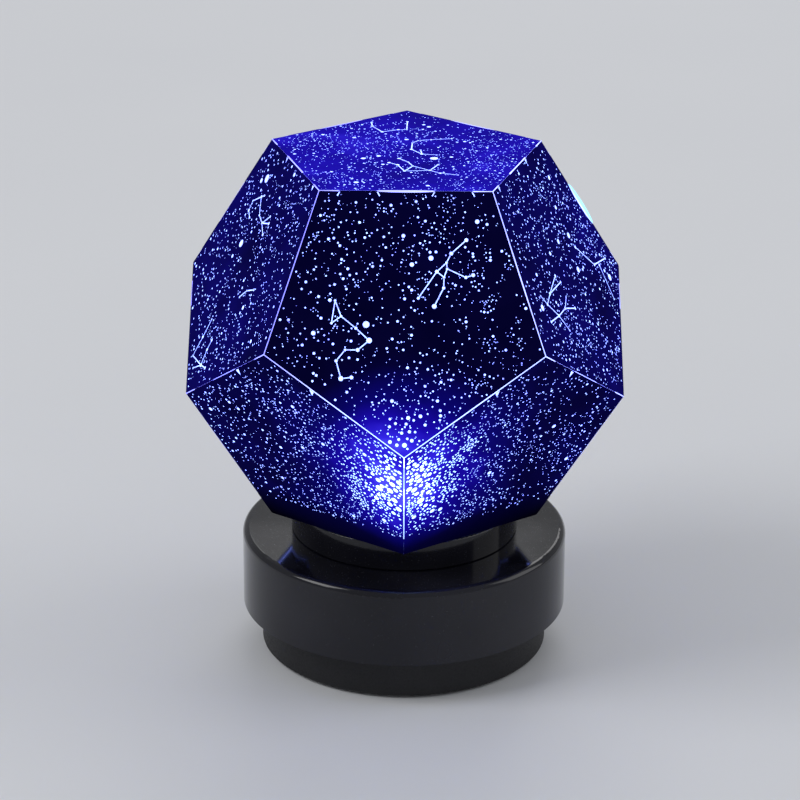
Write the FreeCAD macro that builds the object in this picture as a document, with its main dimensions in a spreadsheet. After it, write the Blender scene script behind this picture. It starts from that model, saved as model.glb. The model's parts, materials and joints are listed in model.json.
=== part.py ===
import FreeCAD, Part
import math
import os
import re
import Sketcher

# Star projector lamp: a twelve-sided shade of eleven printed film sheets on a motor-driven
# turntable, over a round two-step base with the lamp, the drive, the boards and three AA cells.
# Millimetres. +Z is up, the front is -Y, and the origin is on the surface the base stands on.

Vector = FreeCAD.Vector
Rotation = FreeCAD.Rotation
Placement = FreeCAD.Placement

doc = FreeCAD.newDocument("StarProjector")

# ---------------------------------------------------------------------------------------------
# Driving dimensions
# ---------------------------------------------------------------------------------------------
SIZES = {
    # shade sheets
    "PanelEdge": 60.0,
    "FilmThickness": 0.5,
    "SeamInset": 0.05,
    "TabStart": 7.2,
    "TabLength": 12.6,
    "TabReach": 6.0,
    "TabSlant": 1.4,
    "TabThickness": 0.4,
    "TabGap": 0.02,
    # holder inside the lowest sheets
    "HolderFloor": 2.0,
    "HolderHole": 20.0,
    "WingHeight": 8.2,
    "WingWall": 1.6,
    "WingGap": 0.1,
    "ClampCircle": 29.5,
    # turntable
    "TableHeight": 11.0,
    "TableFloor": 2.4,
    "LedgeProud": 0.5,
    "LedgeGap": 0.2,
    "RingGap": 0.4,
    "RingWall": 2.4,
    "HubRadius": 15.0,
    "HubBore": 11.5,
    "HubClearance": 0.05,
    "WasherThickness": 0.4,
    "WasherWidth": 8.0,
    # drive
    "GearModule": 0.7,
    "GearTeeth": 72,
    "PinionTeeth": 18,
    "GearThickness": 4.0,
    "GearBacklash": 0.14,
    "GearGap": 0.4,
    "MotorRadius": 12.0,
    "MotorHeight": 12.0,
    "MotorNose": 4.0,
    "MotorGap": 1.0,
    "EarThickness": 1.2,
    "EarSpread": 17.0,
    "EarRadius": 3.4,
    "ShaftRadius": 1.5,
    "ShaftClearance": 0.05,
    "PinionClearance": 0.02,
    # base drum
    "DrumRadius": 60.0,
    "DrumHeight": 29.0,
    "DrumWall": 2.2,
    "DeckThickness": 2.4,
    "DeckRound": 2.4,
    "BearingDepth": 5.4,
    "BearingWall": 4.0,
    # base foot
    "FootRadius": 53.0,
    "FootHeight": 16.0,
    "FootWall": 2.4,
    "FootFloor": 3.8,
    "FootRound": 1.0,
    "FlangeThickness": 2.0,
    "FlangeGap": 0.3,
    # pads and housing screws
    "PadRadius": 5.5,
    "PadProud": 1.0,
    "PadRecess": 1.2,
    "PadGap": 0.1,
    "PostRadius": 3.6,
    "PostGap": 4.6,
    "PostMargin": 1.5,
    "PostRise": 2.1,
    "ScrewSeat": 2.0,
    # every screw: a nominal 3 mm one and a nominal 2 mm one
    "ScrewRadius": 1.45,
    "ScrewHeadRadius": 2.75,
    "ScrewHeadHeight": 2.2,
    "ScrewGap": 0.05,
    "SmallScrewRadius": 0.95,
    "SmallHeadRadius": 1.9,
    "SmallHeadHeight": 1.4,
    "HousingScrewLength": 12.0,
    "SmallScrewLength": 5.0,
    # three AA cells side by side
    "CellRadius": 7.1,
    "CellLength": 49.2,
    "NubRadius": 2.7,
    "NubLength": 1.0,
    "CellPitch": 15.2,
    "CellGap": 0.3,
    "SpringLength": 5.4,
    "SpringRadius": 4.2,
    "SpringWire": 0.35,
    "SpringPitch": 1.2,
    "ContactThickness": 0.4,
    "ContactHalf": 5.0,
    "SolderTab": 2.4,
    "WellWall": 1.6,
    "WellMargin": 1.0,
    # battery door
    "DoorPlate": 1.2,
    "DoorTongue": 1.2,
    "TongueReach": 2.0,
    "DoorGap": 0.2,
    "DoorFront": 25.4,
    "GripDepth": 0.5,
    "GripPitch": 2.4,
    # boards
    "BoardThickness": 1.6,
    "BoardHalfWidth": 24.0,
    "BoardGap": 2.6,
    "BoardRise": 3.2,
    "BoardMargin": 0.5,
    "BoardScrewX": 19.0,
    "BoardScrewInset": 3.5,
    "BoardPostRadius": 2.8,
    "ConnectorPitch": 8.0,
    "ConnectorRow": 8.0,
    "BatteryRow": 3.0,
    "ConnectorHalf": 2.0,
    "ConnectorDepth": 3.0,
    "ConnectorHeight": 3.2,
    "PartHalf": 2.5,
    "ChipHalf": 3.1,
    "PartGap": 0.4,
    "PartHeight": 1.8,
    "CapacitorRadius": 2.4,
    "CapacitorHeight": 5.0,
    "UsbWidth": 7.6,
    "UsbDepth": 5.4,
    "UsbHeight": 2.8,
    "UsbShell": 0.4,
    "UsbTongue": 0.6,
    "UsbGap": 0.5,
    # push buttons
    "ButtonRadius": 3.9,
    "ButtonGap": 0.3,
    "ButtonPitch": 16.0,
    "ButtonRise": 14.5,
    "ButtonProud": 0.9,
    "ButtonTravel": 0.7,
    "CapFlange": 1.1,
    "CapFlangeThickness": 1.4,
    "BlockDepth": 6.3,
    "BlockMargin": 2.0,
    "SwitchHalf": 3.0,
    "SwitchDepth": 3.3,
    "PlungerRadius": 1.7,
    "PlungerDepth": 1.2,
    "PlungerClearance": 0.05,
    "PlungerGap": 0.1,
    "GuideReach": 1.2,
    "GuideWall": 2.0,
    # lamp
    "LampPostRadius": 9.0,
    "LampPostBore": 6.5,
    "LampFlangeRadius": 16.0,
    "LampFlangeThickness": 2.0,
    "LampScrewCircle": 12.5,
    "LampCupRadius": 17.0,
    "LampCupThickness": 2.0,
    "LampCupSpigot": 3.5,
    "LampDrop": 1.5,
    "LampBoardRadius": 9.0,
    "ChipHalf": 2.5,
    "ChipHeight": 1.6,
    "LensRadius": 2.0,
    "DomeRadius": 16.0,
    "DomeWall": 1.2,
    # leads
    "LeadRadius": 0.9,
    "LeadGap": 0.2,
    "LeadBend": 2.8,
}

# Heights and reaches that follow from the sizes above.
DERIVED = {
    "PanelApothem": "PanelEdge / (2 * tan(36))",
    "PanelCorner": "PanelEdge / (2 * sin(36))",
    "ShadeInradius": "PanelEdge / 2 * sqrt((25 + 11 * sqrt(5)) / 10)",
    "FoldSin": "2 / sqrt(5)",
    "FoldCos": "1 / sqrt(5)",
    "DrumBottom": "PadProud + FootHeight",
    "DeckTop": "DrumBottom + DrumHeight",
    "DeckUnder": "DeckTop - DeckThickness",
    "ShadeBottom": "DeckTop + TableHeight",
    "ShadeCentre": "ShadeBottom + ShadeInradius",
    # holder
    "TabDepth": "FilmThickness + TabGap + TabThickness",
    "HolderBottom": "ShadeBottom + TabDepth + WingGap",
    "HolderTop": "ShadeBottom + WingHeight",
    "WingInset": "(TabDepth + WingGap) / FoldSin",
    "HolderApothem": "PanelApothem + (HolderBottom - ShadeBottom) / 2 - WingInset",
    # turntable
    "TableUnder": "DeckTop + WasherThickness",
    "TableTop": "TableUnder + TableFloor",
    "LedgeTop": "ShadeBottom - LedgeGap",
    "LedgeRadius": "PanelApothem + LedgeProud",
    "RingRadius": "PanelApothem - FilmThickness / FoldSin - RingGap",
    "RingTop": "ShadeBottom + FilmThickness",
    "BearingBottom": "DeckTop - BearingDepth",
    "GearTop": "BearingBottom - GearGap",
    "GearBottom": "GearTop - GearThickness",
    "GearSpread": "GearModule * (GearTeeth + PinionTeeth) / 2",
    "HubScrewCircle": "(HubRadius + HubBore) / 2",
    "MotorTop": "GearBottom - MotorGap",
    "MotorBottom": "MotorTop - EarThickness - MotorHeight",
    # foot
    "FloorTop": "PadProud + FootFloor",
    "FootTop": "DrumBottom + FlangeThickness",
    "PostTop": "FloorTop + PostRise",
    "SeatBottom": "PostTop - ScrewSeat",
    "FootInside": "FootRadius - FootWall",
    # battery well
    "TongueBottom": "PadProud + DoorPlate + DoorGap",
    "TongueTop": "TongueBottom + DoorTongue",
    "SlotTop": "TongueTop + DoorGap",
    "CellHeight": "TongueTop + CellGap + CellRadius",
    "WellTop": "CellHeight + CellRadius + CellGap",
    "RoofTop": "WellTop + WellWall",
    "SolderX": "WellX - ContactThickness - LeadRadius",
    "SolderY": "CellPitch + ContactHalf + LeadRadius",
    "SolderHeight": "CellHeight + ContactHalf + SolderTab / 4",
    "WellX": "(CellLength + NubLength + SpringLength) / 2 + ContactThickness",
    "WellY": "CellPitch + CellRadius + WellMargin",
    "PostX": "WellX + WellWall + PostGap + PostRadius",
    "PostY": "sqrt((FootInside - PostRadius - PostMargin)^2 - PostX^2)",
    "DoorHalf": "WellX - CellGap",
    "TongueHalf": "DoorHalf + TongueReach",
    # boards
    "BoardFront": "WellY + WellWall + BoardGap",
    "BoardScrewY": "BoardFront + BoardScrewInset",
    "PartRow": "(BoardFront + ConnectorRow + BoardRadius) / 2",
    "BoardBottom": "FloorTop + BoardRise",
    "BoardTop": "BoardBottom + BoardThickness",
    "BoardRadius": "FootInside - BoardMargin",
    "UsbBack": "FootInside + UsbShell * 2",
    # buttons
    "ButtonZ": "DrumBottom + ButtonRise",
    "DrumInside": "DrumRadius - DrumWall",
    "BlockFace": "DrumRadius - BlockDepth",
    "BlockHalfX": "ButtonPitch + ButtonRadius + CapFlange + BlockMargin",
    "BlockHalfZ": "ButtonRadius + CapFlange + BlockMargin / 2",
    "CapBack": "BlockFace - ButtonGap - CapFlangeThickness",
    "SwitchFace": "CapBack - ButtonTravel - PlungerGap",
    "SwitchBack": "SwitchFace - SwitchDepth",
    "GuideBack": "SwitchBack - BoardThickness - GuideWall",
    # lamp
    "LampTop": "ShadeBottom - LampDrop",
    "LampPostTop": "LampTop - LampCupThickness",
    "LampBoardTop": "LampTop + BoardThickness",
}

FOLD = math.degrees(math.atan(2))  # how far each sheet leans from its neighbour, in degrees
BEVEL = math.degrees(math.atan((math.sqrt(5) - 1) / 2))  # half the fold: the lean of a cut edge
LEAN = 90 - FOLD  # the lowest sheets and the wings lean out this far from upright
SIDES = 5
TURN = 360 / SIDES
FRONT = -90  # the front is -Y

sheet = doc.addObject("Spreadsheet::Sheet", "Sizes")
for row, (alias, size) in enumerate(SIZES.items(), start=1):
    sheet.set(f"A{row}", alias)
    sheet.set(f"B{row}", str(size))
    sheet.setAlias(f"B{row}", alias)
doc.recompute()


def formula(text):
    """Turn a formula of plain size names into one that reads the sheet."""

    def cell(match):
        word = match.group()
        if word in DERIVED:
            return "(" + formula(DERIVED[word]) + ")"
        return "Sizes." + word if word in SIZES else word

    return re.sub(r"[A-Za-z_]\w*", cell, str(text))


def value(text):
    """The number that a formula gives now."""
    return float(sheet.evalExpression(formula(text)))


def bind(item, **sizes):
    """Bind an object's properties to formulas."""
    for name, text in sizes.items():
        item.setExpression(name, formula(text))
    return item


def place(item, x=0, y=0, z=0, rotation=None):
    """Turn an object, and bind its place to formulas."""
    item.Placement = Placement(Vector(value(x), value(y), value(z)), rotation or Rotation())
    for axis, text in zip("xyz", (x, y, z)):
        item.setExpression(f".Placement.Base.{axis}", formula(text))
    return item


# ---------------------------------------------------------------------------------------------
# Simple solids, joined and cut
# ---------------------------------------------------------------------------------------------
UPRIGHT = Rotation()
ALONG_X = Rotation(Vector(0, 1, 0), 90)
ALONG_Y = Rotation(Vector(1, 0, 0), -90)


def box(x, y, z, name="block"):
    """A block between two formulas along each axis."""
    block = doc.addObject("Part::Box", name)
    for side, (low, high) in zip(("Length", "Width", "Height"), (x, y, z)):
        block.setExpression(side, formula(f"({high}) - ({low})"))
    return place(block, x[0], y[0], z[0])


def rod(radius, z, x=0, y=0, name="rod"):
    """An upright cylinder between two heights."""
    item = bind(doc.addObject("Part::Cylinder", name), Radius=radius, Height=f"({z[1]}) - ({z[0]})")
    return place(item, x, y, z[0])


def rod_x(radius, x, y, z, name="rod"):
    """A cylinder along X between two places."""
    item = bind(doc.addObject("Part::Cylinder", name), Radius=radius, Height=f"({x[1]}) - ({x[0]})")
    return place(item, x[0], y, z, ALONG_X)


def rod_y(radius, y, x, z, name="rod"):
    """A cylinder along Y between two places."""
    item = bind(doc.addObject("Part::Cylinder", name), Radius=radius, Height=f"({y[1]}) - ({y[0]})")
    return place(item, x, y[0], z, ALONG_Y)


def fuse(parts, name="joined"):
    item = doc.addObject("Part::MultiFuse", name)
    item.Shapes = parts
    return item


def cut(base, tools, name="cut"):
    item = doc.addObject("Part::Cut", name)
    item.Base = base
    item.Tool = tools[0] if len(tools) == 1 else fuse(tools)
    return item


def common(base, tool, name="kept"):
    item = doc.addObject("Part::Common", name)
    item.Base = base
    item.Tool = tool
    return item


def group(parts, name):
    """Separate solids of one node."""
    item = doc.addObject("Part::Compound", name)
    item.Links = parts
    return item


def around(count, radius, start=0):
    """The X and Y formulas of places on a circle about the axis."""
    angles = [start + 360 * k / count for k in range(count)]
    return [(f"{radius} * cos({angle})", f"{radius} * sin({angle})") for angle in angles]


def corners(x, y):
    """The four places at plus and minus x and y."""
    return [(f"{i} * {x}", f"{j} * {y}") for i in (-1, 1) for j in (-1, 1)]


# ---------------------------------------------------------------------------------------------
# Sketched bodies
# ---------------------------------------------------------------------------------------------
def start_sketch(body, role, offset=None):
    """An empty sketch on one of a body's own origin planes."""
    plane = next(item for item in body.Origin.OriginFeatures if item.Role == role)
    sketch = body.newObject("Sketcher::SketchObject", body.Label + "_sketch")
    sketch.AttachmentSupport = (plane, [""])
    sketch.MapMode = "FlatFace"
    if offset:
        sketch.AttachmentOffset = offset
    return sketch


def draw_outline(sketch, points):
    """A closed outline whose corners are bound to pairs of formulas."""
    spots = [Vector(value(x), value(y), 0) for x, y in points]
    for here, there in zip(spots, spots[1:] + spots[:1]):
        sketch.addGeometry(Part.LineSegment(here, there))
    for k, (spot, formulas) in enumerate(zip(spots, points)):
        sketch.addConstraint(Sketcher.Constraint("Coincident", k - 1 if k else len(points) - 1, 2, k, 1))
        for kind, number, text in zip(("DistanceX", "DistanceY"), (spot.x, spot.y), formulas):
            if abs(number) < 1e-9:
                on_axis = -2 if kind == "DistanceX" else -1
                sketch.addConstraint(Sketcher.Constraint("PointOnObject", k, 1, on_axis))
            else:
                rule = sketch.addConstraint(Sketcher.Constraint(kind, -1, 1, k, 1, number))
                sketch.setExpression(f"Constraints[{rule}]", formula(text))


def turned_body(name, points):
    """A body turned about Z from an outline of radius and height formulas."""
    body = doc.addObject("PartDesign::Body", name)
    sketch = start_sketch(body, "XZ_Plane")
    draw_outline(sketch, points)
    turn = body.newObject("PartDesign::Revolution", name + "_turned")
    turn.Profile = sketch
    turn.ReferenceAxis = (sketch, ["V_Axis"])
    turn.Angle = 360
    doc.recompute()
    return body


def round_ring(body, radius, height, size):
    """Round the circular edge of a body at this radius and height."""
    base = body.Tip
    names = []
    for number, edge in enumerate(base.Shape.Edges, start=1):
        curve = edge.Curve
        ring = isinstance(curve, Part.Circle) and abs(curve.Radius - value(radius)) < 1e-4
        if ring and abs(curve.Center.z - value(height)) < 1e-4:
            names.append(f"Edge{number}")
    item = body.newObject("PartDesign::Fillet", body.Label + "_round")
    item.Base = (base, names)
    bind(item, Radius=size)
    doc.recompute()
    return body


def pentagon(corner, start):
    """Corner formulas of a regular pentagon."""
    return [(f"({corner}) * cos({start + TURN * k})", f"({corner}) * sin({start + TURN * k})")
            for k in range(SIDES)]


# ---------------------------------------------------------------------------------------------
# Screws
# ---------------------------------------------------------------------------------------------
def screw(seat, x, y, length, small=False, upwards=True):
    """A pan-head screw; its head lies under the seat when it goes upwards, and over it if not."""
    kind = "Small" if small else "Screw"
    radius = "SmallScrewRadius" if small else "ScrewRadius"
    sign, other = ("+", "-") if upwards else ("-", "+")
    ends = (seat, f"{seat} {sign} ({length})")
    shank = rod(radius, ends if upwards else ends[::-1], x, y)
    ends = (f"{seat} {other} {kind}HeadHeight", seat)
    head = rod(kind + "HeadRadius", ends if upwards else ends[::-1], x, y)
    return fuse([shank, head])


# ---------------------------------------------------------------------------------------------
# Shade: eleven folded sheets
# ---------------------------------------------------------------------------------------------
def make_sheet(name, tilt, heading, spin):
    """One five-sided film sheet with a tab on each edge, which tucks behind the neighbour."""
    body = doc.addObject("PartDesign::Body", name)
    face = start_sketch(body, "XY_Plane")
    draw_outline(face, pentagon("PanelCorner - SeamInset / cos(36)", 0))
    plate = body.newObject("PartDesign::Pad", name + "_plate")
    plate.Profile = face
    plate.Reversed = True
    plate.TaperAngle = -BEVEL
    bind(plate, Length="FilmThickness")
    # the tab's outer side lies just under the neighbour's inner side
    fold_line = Rotation(Vector(0, 0, 1), TURN / 2) * Rotation(Vector(0, 1, 0), FOLD)
    depth = "(FilmThickness + TabGap)"
    reach = f"(PanelApothem - FoldSin * {depth})"
    tab_face = start_sketch(body, "XY_Plane", Placement(Vector(), fold_line))
    for axis, text in zip("xyz", (f"{reach} * cos(36)", f"{reach} * sin(36)", f"-FoldCos * {depth}")):
        tab_face.setExpression(f".AttachmentOffset.Base.{axis}", formula(text))
    begin = "-PanelEdge / 2 + TabStart"
    draw_outline(tab_face, [
        ("0", begin),
        ("TabReach", f"{begin} + TabSlant"),
        ("TabReach", f"{begin} + TabLength - TabSlant"),
        ("0", f"{begin} + TabLength"),
    ])
    tab = body.newObject("PartDesign::Pad", name + "_tab")
    tab.Profile = tab_face
    tab.Reversed = True
    bind(tab, Length="TabThickness")
    doc.recompute()
    tabs = body.newObject("PartDesign::PolarPattern", name + "_tabs")
    tabs.Originals = [tab]
    tabs.Axis = (face, ["N_Axis"])
    tabs.Angle = 360
    tabs.Occurrences = SIDES
    body.Tip = tabs
    turn = Rotation(Vector(0, 0, 1), heading) * Rotation(Vector(0, 1, 0), tilt)
    normal = turn.multVec(Vector(0, 0, 1))
    turn = turn * Rotation(Vector(0, 0, 1), spin)
    return place(body, f"ShadeInradius * {normal.x:.9f}", f"ShadeInradius * {normal.y:.9f}",
                 f"ShadeCentre + ShadeInradius * {normal.z:.9f}", turn)


def make_shade():
    sheets = [make_sheet("sheet_top", 0, FRONT + 180, 0)]
    for k in range(SIDES):
        sheets.append(make_sheet(f"sheet_upper_{k + 1}", FOLD, FRONT + TURN * k, 0))
    for k in range(SIDES):
        sheets.append(make_sheet(f"sheet_lower_{k + 1}", 180 - FOLD, FRONT + TURN * (k + 0.5), 180))
    return sheets


def make_holder():
    """The pentagonal tray that clamps the lowest tabs and backs the lowest sheets with its wings."""
    def lofted(name, apothem, bottom, rise, body, pocket):
        offset = Placement(Vector(0, 0, value(bottom)), Rotation())
        outline = start_sketch(body, "XY_Plane", offset)
        outline.setExpression(".AttachmentOffset.Base.z", formula(bottom))
        draw_outline(outline, pentagon(f"({apothem}) / cos(36)", FRONT))
        step = body.newObject("PartDesign::Pocket" if pocket else "PartDesign::Pad", name)
        step.Profile = outline
        step.Reversed = pocket
        step.TaperAngle = LEAN
        bind(step, Length=rise)
        doc.recompute()

    body = doc.addObject("PartDesign::Body", "holder_tray")
    lofted("flared_block", "HolderApothem", "HolderBottom", "HolderTop - HolderBottom", body, False)
    inner = "HolderApothem + HolderFloor / 2 - WingWall / FoldSin"
    lofted("flared_hollow", inner, "HolderBottom + HolderFloor", "HolderTop - HolderBottom - HolderFloor",
           body, True)
    through = ("HolderBottom - 1", "HolderTop + 1")
    holes = [rod("HolderHole", through)]
    for x, y in around(3, "ClampCircle", FRONT + 180):
        holes.append(rod("SmallScrewRadius + ScrewGap", through, x, y))
    # the corners are open, where the sheets' own tabs hang down beside the wings
    for k in range(SIDES):
        block = box(("HolderApothem + WingWall / 2", "PanelCorner + WingHeight"),
                    ("-TabReach", "TabReach"), ("HolderBottom + HolderFloor", "HolderTop + 1"))
        block.Placement = Placement(Vector(), Rotation(Vector(0, 0, 1), FRONT + TURN * k)) * block.Placement
        for axis in "xyz":
            block.setExpression(f".Placement.Base.{axis}", None)
        holes.append(block)
    return cut(body, holes, "shade_holder")


# ---------------------------------------------------------------------------------------------
# Turntable and drive
# ---------------------------------------------------------------------------------------------
def make_turntable():
    dish = turned_body("table_dish", [
        ("HubBore", "GearTop"), ("HubRadius", "GearTop"),
        ("HubRadius", "TableUnder"), ("LedgeRadius", "TableUnder"),
        ("LedgeRadius", "LedgeTop"), ("RingRadius", "LedgeTop"),
        ("RingRadius", "RingTop"), ("RingRadius - RingWall", "RingTop"),
        ("RingRadius - RingWall", "TableTop"), ("HubBore", "TableTop"),
    ])
    round_ring(dish, "LedgeRadius", "LedgeTop", "LedgeProud")
    posts = []
    pilots = []
    for x, y in around(3, "ClampCircle", FRONT + 180):
        posts.append(rod("SmallHeadRadius + 1", ("TableTop - TableFloor / 2", "HolderBottom"), x, y))
        pilots.append(rod("SmallScrewRadius + ScrewGap",
                          ("HolderBottom - SmallScrewLength", "HolderBottom + 1"), x, y))
    for x, y in around(3, "HubScrewCircle"):
        pilots.append(rod("SmallScrewRadius + ScrewGap", ("GearTop - 1", "GearTop + SmallScrewLength"), x, y))
    return cut(fuse([dish] + posts), pilots, "turntable")


def make_holder_screws():
    seat = "HolderBottom + HolderFloor"
    screws = [screw(seat, x, y, "SmallScrewLength", small=True, upwards=False)
              for x, y in around(3, "ClampCircle", FRONT + 180)]
    return group(screws, "holder_screws")


def make_washer():
    ring = rod("HubRadius + HubClearance + WasherWidth", ("DeckTop", "TableUnder"))
    hole = rod("HubRadius + HubClearance", ("DeckTop - 1", "TableUnder + 1"))
    return cut(ring, [hole], "thrust_washer")


def gear_outline(teeth, start):
    """A spur gear's outline: involute flanks through three radii, with arcs between them."""
    module = value("GearModule")
    pressure = math.radians(20)
    pitch = module * teeth / 2
    base = pitch * math.cos(pressure)
    tip = pitch + module
    root = pitch - 1.25 * module

    def half_angle(radius):
        lean = math.acos(min(1, base / radius))
        thick = (math.pi * module / 2 - value("GearBacklash") / 2) / (2 * pitch)
        return thick + (math.tan(pressure) - pressure) - (math.tan(lean) - lean)

    def spot(radius, angle):
        return Vector(radius * math.cos(angle), radius * math.sin(angle), 0)

    step = 2 * math.pi / teeth
    low = max(base, root)
    flank = [low, (low + pitch) / 2, pitch, (pitch + tip) / 2, tip]
    edges = []
    for k in range(teeth):
        middle = math.radians(start) + k * step
        rise = [spot(radius, middle - half_angle(radius)) for radius in flank]
        fall = [spot(radius, middle + half_angle(radius)) for radius in reversed(flank)]
        foot = spot(root, middle - half_angle(low))
        heel = spot(root, middle + half_angle(low))
        rise = ([foot] if root < low else []) + rise
        fall = fall + ([heel] if root < low else [])
        edges += [Part.LineSegment(a, b).toShape() for a, b in zip(rise, rise[1:])]
        edges.append(Part.Arc(rise[-1], spot(tip, middle), fall[0]).toShape())
        edges += [Part.LineSegment(a, b).toShape() for a, b in zip(fall, fall[1:])]
        ahead = spot(root, middle + step - half_angle(low))
        edges.append(Part.Arc(fall[-1], spot(root, middle + step / 2), ahead).toShape())
    return Part.Wire(edges)


def gear_solid(teeth, start, bore, name):
    """A flat spur gear with a bore, from the gear's bottom to its top height."""
    blank = Part.Face(gear_outline(teeth, start)).extrude(Vector(0, 0, value("GearThickness")))
    hole = Part.makeCylinder(value(bore), value("GearThickness"))
    item = doc.addObject("Part::Feature", name)
    item.Shape = blank.cut(hole)
    return item


def make_drive_gear():
    wheel = gear_solid(int(value("GearTeeth")), 180, "HubBore", "gear_wheel")
    place(wheel, 0, 0, "GearBottom")
    holes = [rod("SmallScrewRadius + ScrewGap", ("GearBottom - 1", "GearTop + 1"), x, y)
             for x, y in around(3, "HubScrewCircle")]
    return cut(wheel, holes, "drive_gear")


def make_gear_screws():
    screws = [screw("GearBottom", x, y, "GearThickness + SmallScrewLength - 0.5", small=True)
              for x, y in around(3, "HubScrewCircle")]
    return group(screws, "gear_screws")


def make_pinion():
    teeth = int(value("PinionTeeth"))
    pinion = gear_solid(teeth, 180 / teeth, "ShaftRadius + PinionClearance", "motor_pinion")
    return place(pinion, "-GearSpread", 0, "GearBottom")


def make_motor_shaft():
    return rod("ShaftRadius", ("MotorTop - MotorNose", "GearTop"), "-GearSpread", 0, "motor_shaft")


def make_motor_case():
    """A short round gear motor with two screw ears."""
    can = rod("MotorRadius", ("MotorBottom", "MotorTop"), "-GearSpread", 0)
    bar = box(("-GearSpread - EarRadius", "-GearSpread + EarRadius"), ("-EarSpread", "EarSpread"),
              ("MotorTop - EarThickness", "MotorTop"))
    ears = [rod("EarRadius", ("MotorTop - EarThickness", "MotorTop"), "-GearSpread", f"{side} * EarSpread")
            for side in (-1, 1)]
    through = ("MotorTop - EarThickness - 1", "MotorTop + 1")
    holes = [rod("SmallScrewRadius + ScrewGap", through, "-GearSpread", f"{side} * EarSpread")
             for side in (-1, 1)]
    holes.append(rod("ShaftRadius + ShaftClearance", ("MotorTop - MotorNose", "MotorTop + 1"),
                     "-GearSpread", 0))
    return cut(fuse([can, bar] + ears), holes, "motor_case")


def make_motor_screws():
    screws = [screw("MotorTop - EarThickness", "-GearSpread", f"{side} * EarSpread",
                    "EarThickness + SmallScrewLength - 0.5", small=True) for side in (-1, 1)]
    return group(screws, "motor_screws")


# ---------------------------------------------------------------------------------------------
# Base housing: the wide drum with the deck, the bearing and the inside posts
# ---------------------------------------------------------------------------------------------
def make_housing():
    shell = turned_body("drum_shell", [
        ("HubRadius + HubClearance", "DeckTop"), ("DrumRadius", "DeckTop"),
        ("DrumRadius", "DrumBottom"), ("DrumInside", "DrumBottom"),
        ("DrumInside", "DeckUnder"), ("HubRadius + HubClearance + BearingWall", "DeckUnder"),
        ("HubRadius + HubClearance + BearingWall", "BearingBottom"),
        ("HubRadius + HubClearance", "BearingBottom"),
    ])
    round_ring(shell, "DrumRadius", "DeckTop", "DeckRound")
    height = ("ButtonZ - BlockHalfZ", "ButtonZ + BlockHalfZ")
    block = box(("-BlockHalfX", "BlockHalfX"), ("BlockFace", "DrumRadius"), height)
    block = common(block, rod("DrumInside + DrumWall / 2", height))
    added = [shell, block]
    cuts = []
    for side in (-1, 1):
        near = "(BlockHalfX - GuideReach)"
        far = "(BlockHalfX + GuideWall)"
        sides = (f"-{far}", f"-{near}") if side < 0 else (near, far)
        guide = box(sides, ("GuideBack", "BlockFace + BlockMargin"), height)
        added.append(common(guide, rod("DrumInside + DrumWall / 2", height)))
        groove = (f"{side} * BlockHalfX", f"{side} * (BlockHalfX - GuideReach - 1)")
        cuts.append(box(groove[::side * -1], ("SwitchBack - BoardThickness", "SwitchBack"),
                        (f"{height[0]} - 1", f"{height[1]} + 1")))
    for x, y in corners("PostX", "PostY"):
        added.append(rod("PostRadius", ("PostTop", "DeckTop - DeckThickness / 2"), x, y))
        pilot = ("PostTop - 1", "SeatBottom + HousingScrewLength + 1")
        cuts.append(rod("ScrewRadius + ScrewGap", pilot, x, y))
    for side in (-1, 1):
        x, y = "-GearSpread", f"{side} * EarSpread"
        added.append(rod("EarRadius", ("MotorTop", "DeckTop - DeckThickness / 2"), x, y))
        cuts.append(rod("SmallScrewRadius + ScrewGap", ("MotorTop - 1", "MotorTop + SmallScrewLength"), x, y))
    for k in (-1, 0, 1):
        cuts.append(rod_y("ButtonRadius + ButtonGap", ("BlockFace - 1", "DrumRadius + 1"),
                          f"{k} * ButtonPitch", "ButtonZ"))
    return cut(fuse(added), cuts, "base_housing")


def make_button(name, k):
    """A round cap whose face follows the drum, with a flange that keeps it in its hole."""
    x = f"{k} * ButtonPitch"
    stem = rod_y("ButtonRadius", ("CapBack", "DrumRadius + ButtonProud"), x, "ButtonZ")
    skin = rod("DrumRadius + ButtonProud", ("ButtonZ - 2 * ButtonRadius", "ButtonZ + 2 * ButtonRadius"))
    flange = rod_y("ButtonRadius + CapFlange", ("CapBack", "CapBack + CapFlangeThickness"), x, "ButtonZ")
    return fuse([common(stem, skin), flange], name)


def make_button_board():
    reach = "BlockHalfX - WingGap"
    return box((f"-({reach})", reach), ("SwitchBack - BoardThickness", "SwitchBack"),
               ("ButtonZ - BlockHalfZ", "ButtonZ + BlockHalfZ"), "button_board")


def make_switches():
    """Three switch cases, each with a blind bore for its plunger."""
    switches = []
    for k in (-1, 0, 1):
        x = f"{k} * ButtonPitch"
        case = box((f"{x} - SwitchHalf", f"{x} + SwitchHalf"), ("SwitchBack", "SwitchFace"),
                   ("ButtonZ - SwitchHalf", "ButtonZ + SwitchHalf"))
        depth = "PlungerDepth + ButtonTravel + PlungerGap"
        bore = rod_y("PlungerRadius + PlungerClearance", (f"SwitchFace - ({depth})", "SwitchFace + 1"),
                     x, "ButtonZ")
        switches.append(cut(case, [bore]))
    return group(switches, "button_switches")


def make_plunger(name, k):
    """The switch's plunger, which its cap pushes."""
    return rod_y("PlungerRadius", ("SwitchFace - PlungerDepth", "CapBack"), f"{k} * ButtonPitch",
                 "ButtonZ", name)


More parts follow.
